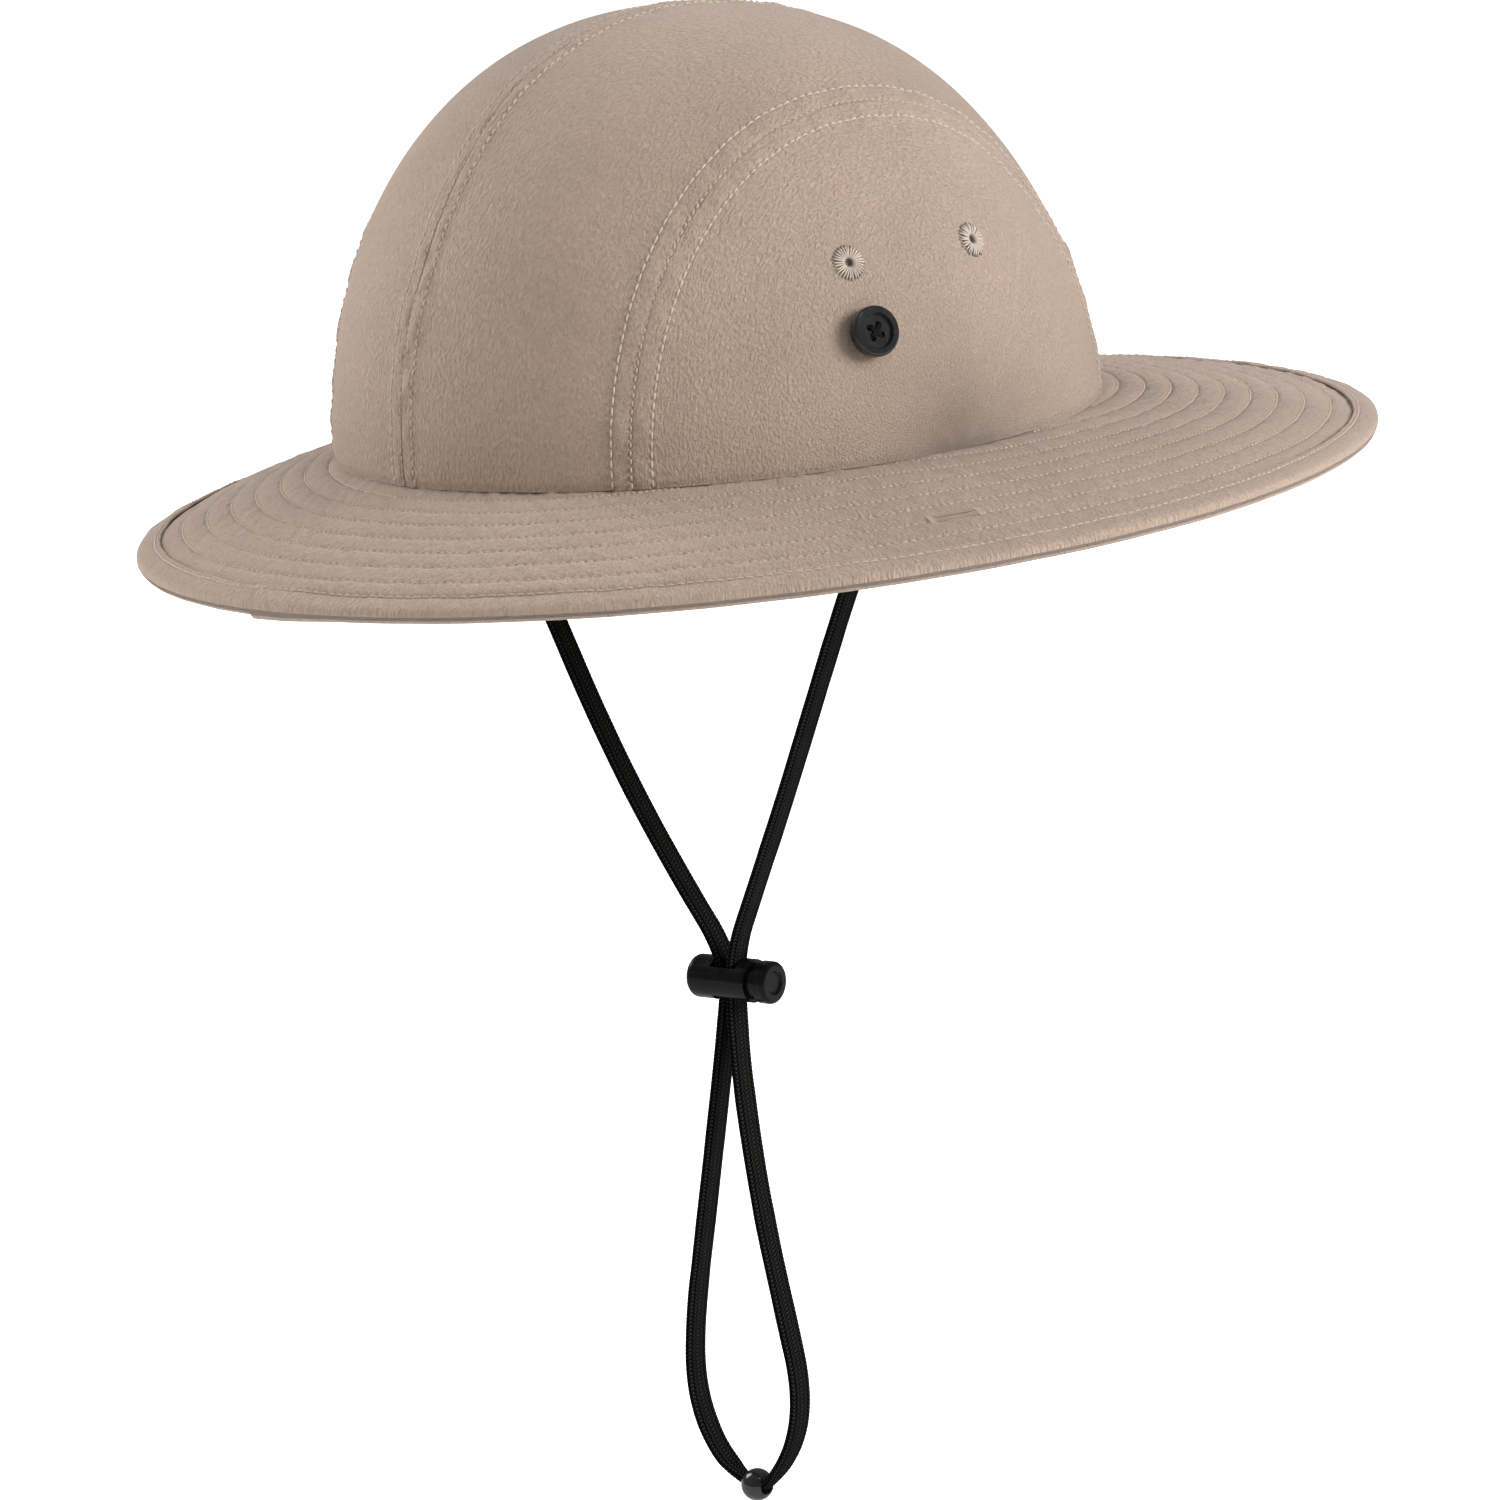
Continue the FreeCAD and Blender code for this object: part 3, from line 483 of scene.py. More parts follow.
def seam_tapes(lining, thread):
    """Binding tape behind each crown seam, stitched along both edges."""
    lines = []
    levels = np.linspace(-TAPE_HALF_WIDTH, TAPE_HALF_WIDTH, 21)
    angles = np.linspace(0.012, math.pi - 0.012, 361)
    for name, middle, side in (("centre", 0.0, 1), ("left", SEAM_X, 1), ("right", SEAM_X, -1)):
        points = dome_point(middle + levels[:, None], angles) * (side, 1, 1)
        normals = dome_normal(points)
        along = lengths_along(points[len(levels) // 2])
        edge = np.abs(levels[:, None]) / TAPE_HALF_WIDTH
        place = points_of(along, levels[:, None], 0.0)
        bulge = 0.35 * (1 - edge ** 4) + 0.16 * noise(place, 4.0, 21)
        outer = points - normals * (PANEL_THICKNESS + LAYER_GAP)
        inner = points - normals * (PANEL_THICKNESS + LAYER_GAP + 0.35 + bulge)[..., None]
        solid, faces, kept = shell(inner, outer, grid_faces(len(levels), len(angles)))
        uv = place[..., :2].reshape(-1, 2)[kept]
        replacement(f"crown_seam_tape_{name}", solid, faces, lining, "lining_fabric", uv=uv)
        for row in (2, -3):
            lines.append((inner[row], -normals[row], along))
    stitching("seam_tape_stitching", lines, thread, pitch=3.0)


def sweatband(lining, thread):
    """The band inside the opening, with a stitched fold along each edge."""
    angles = np.linspace(-math.pi, math.pi, 721)[:-1]
    heights = np.array([
        1, 1.4, 2.2, 3, 4, 6, 9, 12, 15, 18, 21, 24, 27, 28.5, 29.4, 30.4, 31.4, 32])
    rise = (1 - (heights / HEIGHT) ** RISE_POWER) ** (1 / ROUND_POWER)
    shape = points_of(
        HALF_WIDTH * rise[:, None] * np.cos(angles),
        HALF_LENGTH * rise[:, None] * np.sin(angles) - LEAN * heights[:, None] / HEIGHT,
        heights[:, None])
    normals = dome_normal(shape)
    edge = np.minimum(heights - heights[0], heights[-1] - heights)[:, None]
    along = lengths_along(np.concatenate([shape[0], shape[0][:1]]))[:-1]
    place = points_of(along, 0.3 * heights[:, None], 0.0)
    puff = 0.75 * ease(0, 3.2, edge) - 0.35 * hump(edge - 2.4, 0.8)
    puff = puff + (0.16 * noise(place, 4.2, 31) + 0.3 * noise(place, 17, 32)) * ease(0, 4, edge)
    outer = shape - normals * 1.8
    inner = shape - normals * (2.3 + puff)[..., None]
    faces = grid_faces(len(heights), len(angles), False, True)
    solid, faces, kept = shell(inner, outer, faces)
    uv = points_of(along, heights[:, None]).reshape(-1, 2)[kept]
    replacement("sweatband", solid, faces, lining, "lining_fabric", uv=uv)
    rows = [(inner[row], -normals[row], along) for row in (3, -4)]
    stitching("sweatband_stitching", rows, thread, pitch=2.8)


# -------- brim

def brim_point(share, angle):
    """The brim's upper side: share 0 is the crown seam and 1 the outer edge."""
    width = HALF_WIDTH + share * (BRIM_HALF_WIDTH - HALF_WIDTH)
    length = HALF_LENGTH + share * (BRIM_HALF_LENGTH - HALF_LENGTH)
    drop = BRIM_DROOP * share * (1 - BRIM_CURL + BRIM_CURL * np.abs(share))
    return points_of(
        width * np.cos(angle),
        share * BRIM_SHIFT + length * np.sin(angle),
        share * BRIM_TILT * np.sin(angle) - drop)


def brim_normal(share, angle):
    """Direction up out of the brim."""
    step = 0.004
    outward = brim_point(share + step, angle) - brim_point(share - step, angle)
    onward = brim_point(share, angle + step) - brim_point(share, angle - step)
    return unit(np.cross(outward, onward))


def brim_columns(count):
    """Angles evenly spaced along the outer edge, from the join in the binding."""
    fine = BINDING_JOIN + np.linspace(0, 2 * math.pi, 7201)
    along = lengths_along(brim_point(1.0, fine))
    places = np.linspace(0, along[-1], count + 1)[:-1]
    return np.interp(places, along, fine), places, along[-1]


BRIM_ANGLES, EDGE_ALONG, EDGE_LENGTH = brim_columns(1260)
BRIM_WIDTHS = np.linalg.norm(brim_point(1.0, BRIM_ANGLES) - brim_point(0.0, BRIM_ANGLES), axis=-1)
ROW_PITCHES = ROW_PITCH + (REAR_ROW_PITCH - ROW_PITCH) * ease(-0.1, 0.9, np.sin(BRIM_ANGLES))
EDGE_LEVELS = (1.1, 2.5, 4.5, 6.5, 8.0, 9.5, 11.0, 12.1)
ROW_PARTS = (0, 0.07, 0.2, 0.4, 0.6, 0.8, 0.93)
ROW_COUNT = 11


def round_brim(along, distances, slant, shorten):
    """Places for noise that runs on without a break round the brim, at a slant."""
    radius = EDGE_LENGTH / (2 * math.pi)
    turn = (along + slant * distances) / radius
    return points_of(radius * np.cos(turn), radius * np.sin(turn), shorten * distances)


def brim_frame():
    """Distances in from the outer edge, shares, points and normals of the brim's grid."""
    levels = [np.full_like(BRIM_ANGLES, distance) for distance in EDGE_LEVELS]
    for row in range(ROW_COUNT):
        levels += [FIRST_ROW + ROW_PITCHES * (row + part) for part in ROW_PARTS]
    distances = np.array(levels)
    shares = np.maximum(1 - distances / BRIM_WIDTHS, INNER_SHARE)
    return distances, shares, brim_point(shares, BRIM_ANGLES), brim_normal(shares, BRIM_ANGLES)


def quilting(distances, points, seed, puff_height):
    """Height of quilted cloth: puffed between its rows, with slanting puckers."""
    count = (distances - FIRST_ROW) / ROW_PITCHES
    part = np.where(count > 0, count - np.floor(count), np.clip(1 + count, 0.5, 1))
    puff = (4 * part * (1 - part)) ** 0.42 * ease(6.4, 9.2, distances)
    slanted = round_brim(EDGE_ALONG, distances, 1.1, 0.55)
    crossed = round_brim(EDGE_ALONG, distances, -0.8, 0.5)
    puckers = 0.30 * noise(slanted, 3.4, seed) + 0.16 * noise(crossed, 2.5, seed + 1)
    dimples = 0.16 * np.cos(2 * math.pi * EDGE_ALONG / STITCH_PITCH) * (1 - puff) ** 2
    waves = 0.25 * noise(points, 30, seed + 2)
    return puff_height * puff + puckers * (0.12 + 0.88 * puff) - dimples + waves - 0.25


def slit_openings():
    """The opening through the brim at each buttonhole."""
    openings = []
    for side in SIDES.values():
        centre, axes = buttonhole_place(side)
        reach = axes[0] * (SLIT_LENGTH / 2 - 1.6)
        openings.append((axes[2], centre - reach, centre + reach, SLIT_WIDTH / 2 + 0.1))
    return openings


def buttonhole_place(side):
    """Centre and axes (along the slit, across it, out of the cloth) of a buttonhole."""
    centre = brim_point(BUTTONHOLE_SHARE, BUTTONHOLE_ANGLE)
    step = 0.02
    ahead = brim_point(BUTTONHOLE_SHARE, BUTTONHOLE_ANGLE + step)
    along = unit(ahead - brim_point(BUTTONHOLE_SHARE, BUTTONHOLE_ANGLE - step))
    out = brim_normal(BUTTONHOLE_SHARE, BUTTONHOLE_ANGLE)
    axes = np.array([along, np.cross(out, along), out])
    return centre * (side, 1, 1), axes * (side, 1, 1)


def brim(fabric, felt, thread):
    """Top cloth, interlining and under cloth, with their rows of quilting stitches."""
    distances, shares, points, normals = brim_frame()
    faces = grid_faces(*distances.shape, False, True)
    openings = slit_openings()
    top = points + normals * quilting(distances, points, 41, 0.62)[..., None]
    low = BRIM_STACK + quilting(distances, points, 51, 0.45)
    under = points - normals * low[..., None]
    uv = points_of(EDGE_ALONG, distances).reshape(-1, 2)
    layers = (
        ("brim_top_fabric", top, BRIM_CLOTH),
        ("brim_under_fabric", under, BRIM_STACK - BRIM_CLOTH),
    )
    for node, face, depth in layers:
        solid, sheet, kept = shell(face, points - normals * depth, faces, openings)
        replacement(node, solid, sheet, fabric, "shell_fabric", uv=uv[kept], around=EDGE_LENGTH)
    coarse = (slice(None, None, 4), slice(None, None, 6))
    felt_wave = 0.06 * noise(points[coarse], 6, 61)[..., None]
    upper = points[coarse] - normals[coarse] * (BRIM_CLOTH + LAYER_GAP + 0.1 + felt_wave)
    lower = points[coarse] - normals[coarse] * (BRIM_CLOTH + LAYER_GAP + BRIM_CORE - 0.1)
    faces = grid_faces(*upper.shape[:2], False, True)
    solid, sheet, kept = shell(upper, lower, faces, openings)
    core_uv = uv.reshape(*distances.shape, 2)[coarse].reshape(-1, 2)[kept]
    replacement("brim_interlining", solid, sheet, felt, "interlining", uv=core_uv,
                around=EDGE_LENGTH)
    for name, surface, out in (("top", top, normals), ("under", under, -normals)):
        lines = []
        for row in range(ROW_COUNT):
            level = len(EDGE_LEVELS) + row * len(ROW_PARTS)
            lines += visible_runs(surface[level], out[level], shares[level] > -0.012)
        stitching(f"brim_quilting_{name}", lines, thread)


def visible_runs(points, normals, shown):
    """The parts of a row outside the crown, with distances along the edge."""
    runs = []
    edges = np.flatnonzero(np.diff(np.concatenate([[0], shown.astype(int), [0]])))
    for start, stop in zip(edges[::2], edges[1::2]):
        if stop - start > 8:
            run = slice(start, stop)
            runs.append((points[run], normals[run], EDGE_ALONG[run]))
    return runs


def binding(fabric, thread):
    """The folded cloth edge, which overlaps at its join and gapes a little beside it."""
    profile = np.array([
        (6.3, 0.12), (6.9, 0.18), (7.05, 0.45), (6.85, 0.78), (6.3, 0.86), (5.9, 0.74),
        (5.6, 0.66), (5.3, 0.74), (4.4, 0.92), (3.0, 0.95), (1.6, 0.85), (0.7, 0.52),
        (0.2, -0.1), (0.0, -0.8), (0.0, -1.8), (0.2, -2.5), (0.7, -3.05), (1.6, -3.4),
        (3.0, -3.5), (4.4, -3.45), (5.3, -3.3), (5.6, -3.22), (5.9, -3.3), (6.3, -3.42),
        (6.85, -3.35), (7.05, -3.05), (6.9, -2.8), (6.3, -2.72), (3.6, -2.72), (1.5, -2.7),
        (0.75, -2.2), (0.6, -1.3), (0.75, -0.4), (1.5, 0.1), (3.6, 0.12),
    ])
    distance = profile[:, :1]
    lift = profile[:, 1:]
    angles = np.concatenate([BRIM_ANGLES, [BRIM_ANGLES[0] + 2 * math.pi - 0.0006]])
    along = np.concatenate([EDGE_ALONG, [EDGE_ALONG[-1] + 0.7]])
    widths = np.concatenate([BRIM_WIDTHS, BRIM_WIDTHS[:1]])
    degrees = np.degrees(angles)
    gape = ease(-89, -80, degrees) * (1 - ease(-46, -30, degrees))
    place = round_brim(along, distance, 0.0, 0.4)
    upper = ease(-0.6, 0.2, lift)
    flap = ease(5.0, 7.0, distance) * upper
    worn = 0.20 * noise(place, 7.5, 71) + 0.13 * noise(place, 3.0, 72)
    lift = lift + gape * flap * (0.95 + 0.45 * noise(place, 22, 73))
    lift = lift + worn * upper * ease(0.1, 1.2, distance)
    overlap = 1 - ease(0.0, 30.0, along)
    lift = lift + 0.75 * overlap * np.sign(lift + 1.3) * ease(0.0, 1.0, np.abs(lift + 1.3))
    drawn = distance + 0.35 * noise(place, 26, 74) * ease(4.5, 6.5, distance)
    drawn = drawn - 0.5 * overlap * (1 - ease(0, 2, distance)) + 0.12 * noise(place, 9, 75)
    shares = 1 - drawn / widths
    points = brim_point(shares, angles) + brim_normal(shares, angles) * lift[..., None]
    solid, faces = ring_solid(points)
    uv = points_of(along, distance + (lift < -1.3) * 20).reshape(-1, 2)
    replacement("brim_edge_binding", solid, faces, fabric, "shell_fabric", uv=uv,
                around=EDGE_LENGTH)
    lines = []
    for row, side in ((6, 1), (21, -1)):
        normals = brim_normal(shares[row], angles) * side
        lines.append((points[row][:-1], normals[:-1], EDGE_ALONG))
    stitching("binding_stitching", lines, thread)


# -------- eyelets, buttons, buttonholes

def strand(path, radius, sides=6):
    """A closed tube of thread along a short path."""
    forward = unit(np.gradient(path, axis=0))
    helper = np.where(np.abs(forward[:, 2:]) > 0.9, (1.0, 0, 0), (0, 0, 1.0))
    across = unit(np.cross(forward, helper))
    turn = full_turn(sides)[:, None]
    ring = across[:, None] * np.cos(turn) + np.cross(across, forward)[:, None] * np.sin(turn)
    return capped_tube(path[:, None] + np.reshape(radius, (-1, 1, 1)) * ring)


def embroidery(node, parts, material, slot="thread", origin=0, axes=np.eye(3)):
    """Strands as one piece at a place on the hat, and how proud its points are."""
    faces = []
    start = 0
    for part_points, part_faces in parts:
        faces += [[corner + start for corner in face] for face in part_faces]
        start += len(part_points)
    local = np.concatenate([part_points for part_points, _ in parts])
    return replacement(node, origin + local @ axes, faces, material, slot), local[:, 2]


def mark_proud(piece, heights):
    """Keep how proud each point of a piece is, for its material: low points get painted shade, and on
    the braid high points get a painted highlight.
    """
    layer = piece.data.attributes.new("proud", "FLOAT", "POINT")
    layer.data.foreach_set("value", heights)


def eyelets(thread):
    """Rings of radial satin stitches over a padded ring, each going down its vent hole."""
    strands = 30
    angles = full_turn(72)
    padding = np.array([
        (1.2, -1.3), (1.0, -1.25), (1.05, -0.1), (1.5, 0.12), (2.4, 0.15), (3.1, 0.0), (3.4, -0.2),
        (3.3, -0.5), (2.0, -0.5), (1.3, -0.6),
    ])
    away, height = padding[:, :1], padding[:, 1:]
    ring = points_of(away * np.cos(angles), away * np.sin(angles), height)
    height = np.array([-0.45, 0.1, 0.42, 0.62, 0.6, 0.4, 0.0, -0.5, -1.2])
    for (place, y), (side_name, side) in itertools.product(EYELET_YS.items(), SIDES.items()):
        origin, axes = side_place(y, EYELET_Z, side)
        parts = [ring_solid(ring)]
        for number in range(strands):
            chance = noise(np.array([number * 1.7, y, side]), 1.0, 81)
            reach = 4.15 + 0.3 * chance
            away = np.array([reach + 0.1, reach, 3.5, 2.7, 1.9, 1.3, 0.95, 0.72, 0.66])
            lean = 2 * math.pi * (number + 0.25 * chance) / strands + 0.03 * away
            path = points_of(away * np.cos(lean), away * np.sin(lean), height + 0.08 * chance)
            radius = np.interp(away, (0.9, 1.5, 3.4, 4.4), (0.1, 0.15, 0.22, 0.15))
            parts.append(strand(path, radius))
        name = f"vent_eyelet_{side_name}_{place}"
        # The strands' heights darken them where they go down into the hole: painted shade.
        mark_proud(*embroidery(name, parts, thread, origin=origin, axes=axes))


def button_threads(black_thread):
    """Crossed strands over each button's four holes, and the wound shank under it."""
    dish = BUTTON_GAP + BUTTON_THICKNESS - BUTTON_DISH
    for side_name, side in SIDES.items():
        origin, axes = side_place(BUTTON_Y, BUTTON_Z, side)
        parts = []
        for quarter, number in itertools.product(range(2), (-1, 0, 1)):
            turn = math.radians(45 + 90 * quarter)
            along = np.array([math.cos(turn), math.sin(turn), 0])
            across = np.array([-along[1], along[0], 0])
            reach = np.linspace(-1, 1, 15)
            path = reach[:, None] * along * (BUTTON_HOLES + 0.1) + across * 0.36 * number
            arch = (0.45 + 0.12 * quarter) * (1 - reach ** 6)
            path[:, 2] = dish + arch - 0.9 * np.abs(reach) ** 9
            parts.append(strand(path, 0.23, 8))
        angle = np.linspace(0, 2 * math.pi, 25)
        for number in range(4):
            radius = 1.35 - 0.08 * (number % 2)
            path = points_of(radius * np.cos(angle), radius * np.sin(angle), 0.25 + 0.27 * number)
            parts.append(strand(path, 0.2))
        heights = np.linspace(0.1, dish, 6)
        for turn in full_turn(4) + math.pi / 4:
            path = points_of(BUTTON_HOLES * math.cos(turn), BUTTON_HOLES * math.sin(turn), heights)
            parts.append(strand(path, 0.5, 8))
        embroidery(f"button_thread_{side_name}", parts, black_thread, "black_thread", origin, axes)


def buttonholes(thread):
    """Satin-stitched frame round each slit, with a bar tack across both ends."""
    inner = 0.33
    for side_name, side in SIDES.items():
        centre, axes = buttonhole_place(side)
        parts = []
        for edge in (-1, 1):
            reach = np.linspace(0, 1, 6)
            lift = 0.22 * np.sin(math.pi * (0.12 + 0.76 * reach)) - 0.05
            for number, place in enumerate(np.arange(-SLIT_LENGTH / 2, SLIT_LENGTH / 2, 0.42)):
                outer = 1.75 + 0.15 * math.sin(number * 2.4)
                path = points_of(place + 0.08 * reach, edge * (inner + (outer - inner) * reach), lift)
                parts.append(strand(path, 0.24))
        reach = np.linspace(-1, 1, 7)
        for end, number in itertools.product((-1, 1), range(7)):
            place = end * (SLIT_LENGTH / 2 + 0.1 + 0.2 * number)
            width = 2.0 + 0.12 * math.sin(number * 3.1)
            parts.append(strand(points_of(place, reach * width, 0.08 - 0.2 * reach ** 4), 0.24))
        name = f"buttonhole_stitching_{side_name}"
        embroidery(name, parts, thread, origin=centre + axes[2] * 0.1, axes=axes)


# -------- chin cord

def cord_line(name):
    """A cord's centreline, a spline steered by its route, and its wide direction."""
    _, start_y = ANCHORS.get(name, LOCK[:2])
    slope = (start_y - CORD_PLANE_Y) / -ROUTES[name][-1][1]
    points = [(x, start_y + slope * z, z) for x, z in ROUTES[name]]
    curve = bpy.data.curves.new(f"line_{name}", "CURVE")
    curve.dimensions = "3D"
    curve.resolution_u = 40
    spline = curve.splines.new("NURBS")
    spline.points.add(len(points) - 1)
    for place, point in zip(spline.points, points):
        place.co = (*metres(point), 1)
    spline.order_u = 3
    spline.use_endpoint_u = True
    holder = bpy.data.objects.new(f"line_{name}", curve)
    line = bpy.data.meshes.new_from_object(holder)
    found = np.array([vertex.co for vertex in line.vertices]) / MM
    bpy.data.objects.remove(holder)
    bpy.data.meshes.remove(line)
    bpy.data.curves.remove(curve)
    along = lengths_along(found)
    line = follow(found, along, np.linspace(0, along[-1], int(along[-1] / BRAID_STEP)))
    return line, unit(np.array([0, 1.0, -slope]))


def braid(node, line, across, material, seed, body):
    """A flat tubular braid with slanting stitches in rows, gathered at the bead."""
    along = lengths_along(line)
    forward = unit(np.gradient(line, axis=0))
    thin = unit(np.cross(forward, across))
    wide = np.cross(thin, forward)
    turn = full_turn(60)
    half_width = CORD_WIDTH / 2 - 0.1
    half_thickness = CORD_THICKNESS / 2 - 0.1
    gathered = 1 - ease(3.5, 12.0, np.linalg.norm(line - np.array(BEAD), axis=1))
    width = half_width + (1.72 - half_width) * gathered
    thickness = half_thickness + (1.35 - half_thickness) * gathered
    width = width * (1 + 0.02 * noise(points_of(along, 0, 0), 6, seed))
    power = 0.62 + 0.38 * gathered[:, None]
    side = np.sign(np.cos(turn)) * np.abs(np.cos(turn)) ** power
    face = np.sign(np.sin(turn)) * np.abs(np.sin(turn)) ** 0.8
    position = side * (CORD_WIDTH / 2)
    column = position / BRAID_COLUMN + 0.5
    part = column - np.floor(column)
    slant = np.abs(part - 0.5) * 1.5 * (2 * (np.floor(column) % 2) - 1)
    stitch = along[:, None] / BRAID_STITCH + slant + 0.5 * np.sign(face)
    crown_of_column = np.sin(math.pi * part) ** 0.5
    crown_of_stitch = np.abs(np.sin(math.pi * stitch))
    bump = 0.2 * crown_of_stitch + 0.14 * crown_of_column - 0.15
    reach_side = side * width[:, None] * (1 + bump / 6)
    reach_face = face * (thickness[:, None] + bump)
    sideways = wide[:, None] * reach_side[..., None]
    rings = line[:, None] + sideways + thin[:, None] * reach_face[..., None]
    points, faces = capped_tube(rings)
    piece = replacement(node, points, faces, material, "black_cord", body=body, sharp=80)
    # The material lights up the stitch crowns and darkens the gaps by this mark: painted highlight
    # and painted shade.
    mark_proud(piece, (crown_of_stitch * crown_of_column).reshape(-1))
    return piece


def cord_run(name, material, seed, bodies, end, start=None, **more):
    """One run of the free cord along its route, baked into place."""
    line, across = cord_line(name)
    piece = braid(f"chin_cord_{name}", line, across, material, seed, None)
    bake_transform(piece)


def chin_cord(material):
    """The two upper strands, and the loop that goes through the bead."""
    cord_run("left", material, 4, ("chin_strap", "cord_lock"), LOCK)
    cord_run("right", material, 5, ("chin_strap", "cord_lock"), LOCK)
    cord_run("loop", material, 7, ("cord_lock", "chin_strap"), BEAD, LOCK,
             with_pieces=["chin_cord_bead_ball"])


def cord_ends(material, black_thread):
    """The ends sewn to the sweatband, each under a dense bar tack."""
    for name, side in SIDES.items():
        x, y = ANCHORS[name]
        line = points_of(x, y, np.linspace(0.2, 10.4, 38))
        braid(f"cord_end_{name}", line, np.array([0, 1.0, 0]), material, 3, "hat")
        parts = []
        reach = np.linspace(-1, 1, 7)
        for number in range(24):
            height = 5.5 + reach * (0.95 + 0.08 * math.sin(number * 2.7))
            path = points_of(
                x - side * (1.02 + 0.22 * (1 - reach ** 4)), y + 0.36 * (number - 11.5), height)
            parts.append(strand(path, 0.2))
        embroidery(f"cord_bartack_{name}", parts, black_thread, "black_thread")


def bead(plastic):
    """Round bead, turned about the cord's direction, with a rounded mouth to its hole."""
    outer = np.linspace(math.radians(32), math.radians(148), 41)
    profile = [(BEAD_RADIUS * math.cos(a), BEAD_RADIUS * math.sin(a)) for a in outer]
    mouth = [(3.62, 2.02), (3.5, 1.88), (3.2, BEAD_HOLE), (1.5, BEAD_HOLE)]
    profile += [(-x, away) for x, away in mouth] + [(0, BEAD_HOLE)] + mouth[::-1]
    along, away = np.array(profile).T
    angles = full_turn(72)[:, None]
    local = points_of(along, away * np.cos(angles), away * np.sin(angles))
    points, faces = ring_solid(local + np.array(BEAD))
    piece = make_piece("chin_cord_bead_ball", points, faces, plastic, "black_plastic", "chin_strap")
    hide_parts("chin_cord_bead")


def spring(steel):
    """Coil spring behind the plunger."""
    axis = np.array([math.cos(LOCK_TURN), math.sin(LOCK_TURN), 0])
    level = np.array([-axis[1], axis[0], 0])
    turn = np.linspace(0, 2 * math.pi * SPRING_TURNS, 48 * SPRING_TURNS + 1)[:, None]
    outward = level * np.cos(turn) + np.array([0, 0, 1.0]) * np.sin(turn)
    along = SPRING_BACK + SPRING_WIRE / 2 + (SPRING_LENGTH - SPRING_WIRE) * turn / turn[-1]
    path = np.array(LOCK) + axis * along + outward * SPRING_RADIUS
    section = full_turn(SPRING_SIDES)[:, None]
    ring = outward[:, None] * np.cos(section) + axis * np.sin(section)
    points, faces = capped_tube(path[:, None] + SPRING_WIRE / 2 * ring)
    piece = make_piece("lock_spring_coil", points, faces, steel, "spring_steel", "cord_lock")
    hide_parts("cord_lock_spring")
    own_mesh(piece)


# -------- materials

class Nodes:
    """Short calls to add and join nodes in a material's or world's tree."""

    def __init__(self, owner, last="Principled BSDF"):
        owner.use_nodes = True
        self.owner = owner
        self.tree = owner.node_tree
        self.last = self.tree.nodes[last].inputs

    def add(self, kind, **settings):
        node = self.tree.nodes.new(kind)
        for key, value in settings.items():
            if hasattr(node, key):
                setattr(node, key, value)
            else:
                node.inputs[key.replace("_", " ")].default_value = value
        return node

    def join(self, source, target):
        """Set a socket to a number, or join another node's output to it."""
        if isinstance(source, (int, float)):
            target.default_value = source
        else:
            self.tree.links.new(source, target)

    def noise(self, size, detail=2.0, roughness=0.5, distortion=0.0, place=None):
        """Noise with features of about this size, in the piece's own space or another."""
        if place is None:
            place = self.add("ShaderNodeTexCoord").outputs["Object"]
        node = self.add("ShaderNodeTexNoise", Scale=1 / size, Detail=detail, Roughness=roughness,
                        Distortion=distortion)
        self.join(place, node.inputs["Vector"])
        return node.outputs["Fac"]

    def spread(self, value, low, high, to_low, to_high):
        """A value mapped from one range to another, and held at its ends."""
        node = self.add("ShaderNodeMapRange", From_Min=low, From_Max=high, To_Min=to_low,
                        To_Max=to_high)
        self.join(value, node.inputs["Value"])
        return node.outputs["Result"]

    def maths(self, operation, first, second):
        node = self.add("ShaderNodeMath", operation=operation)
        self.join(first, node.inputs[0])
        self.join(second, node.inputs[1])
        return node.outputs[0]

    def product(self, first, *others):
        for other in others:
            first = self.maths("MULTIPLY", first, other)
        return first

    def pointed(self, low, high, to_low, to_high):
        """A factor that goes from hollows to high spots."""
        pointiness = self.add("ShaderNodeNewGeometry").outputs["Pointiness"]
        return self.spread(pointiness, low, high, to_low, to_high)

    def proud(self, low, high, to_low, to_high):
        """A factor that goes with how proud a point was marked."""
        proud = self.add("ShaderNodeAttribute", attribute_name="proud").outputs["Fac"]
        return self.spread(proud, low, high, to_low, to_high)

    def by_ray(self, for_light, for_camera):
        """One value for the light it gives, another for the camera."""
        seen = self.add("ShaderNodeLightPath").outputs["Is Camera Ray"]
        return self.spread(seen, 0, 1, for_light, for_camera)

    def bump(self, height, distance, strength=1.0, normal=None):
        node = self.add("ShaderNodeBump", Distance=distance, Strength=strength)
        self.join(height, node.inputs["Height"])
        if normal is not None:
            self.join(normal, node.inputs["Normal"])
        return node.outputs["Normal"]

    def finish(self, colour, factor, normal, **settings):
        """Join up the surface: a colour times a factor, bumps and shine."""
        shade = self.add("ShaderNodeVectorMath", operation="SCALE")
        shade.inputs[0].default_value = colour
        self.join(factor, shade.inputs["Scale"])
        self.join(shade.outputs["Vector"], self.last["Base Color"])
        self.join(normal, self.last["Normal"])
        for name, value in settings.items():
            self.join(value, self.last[name.replace("_", " ")])
        return self.owner


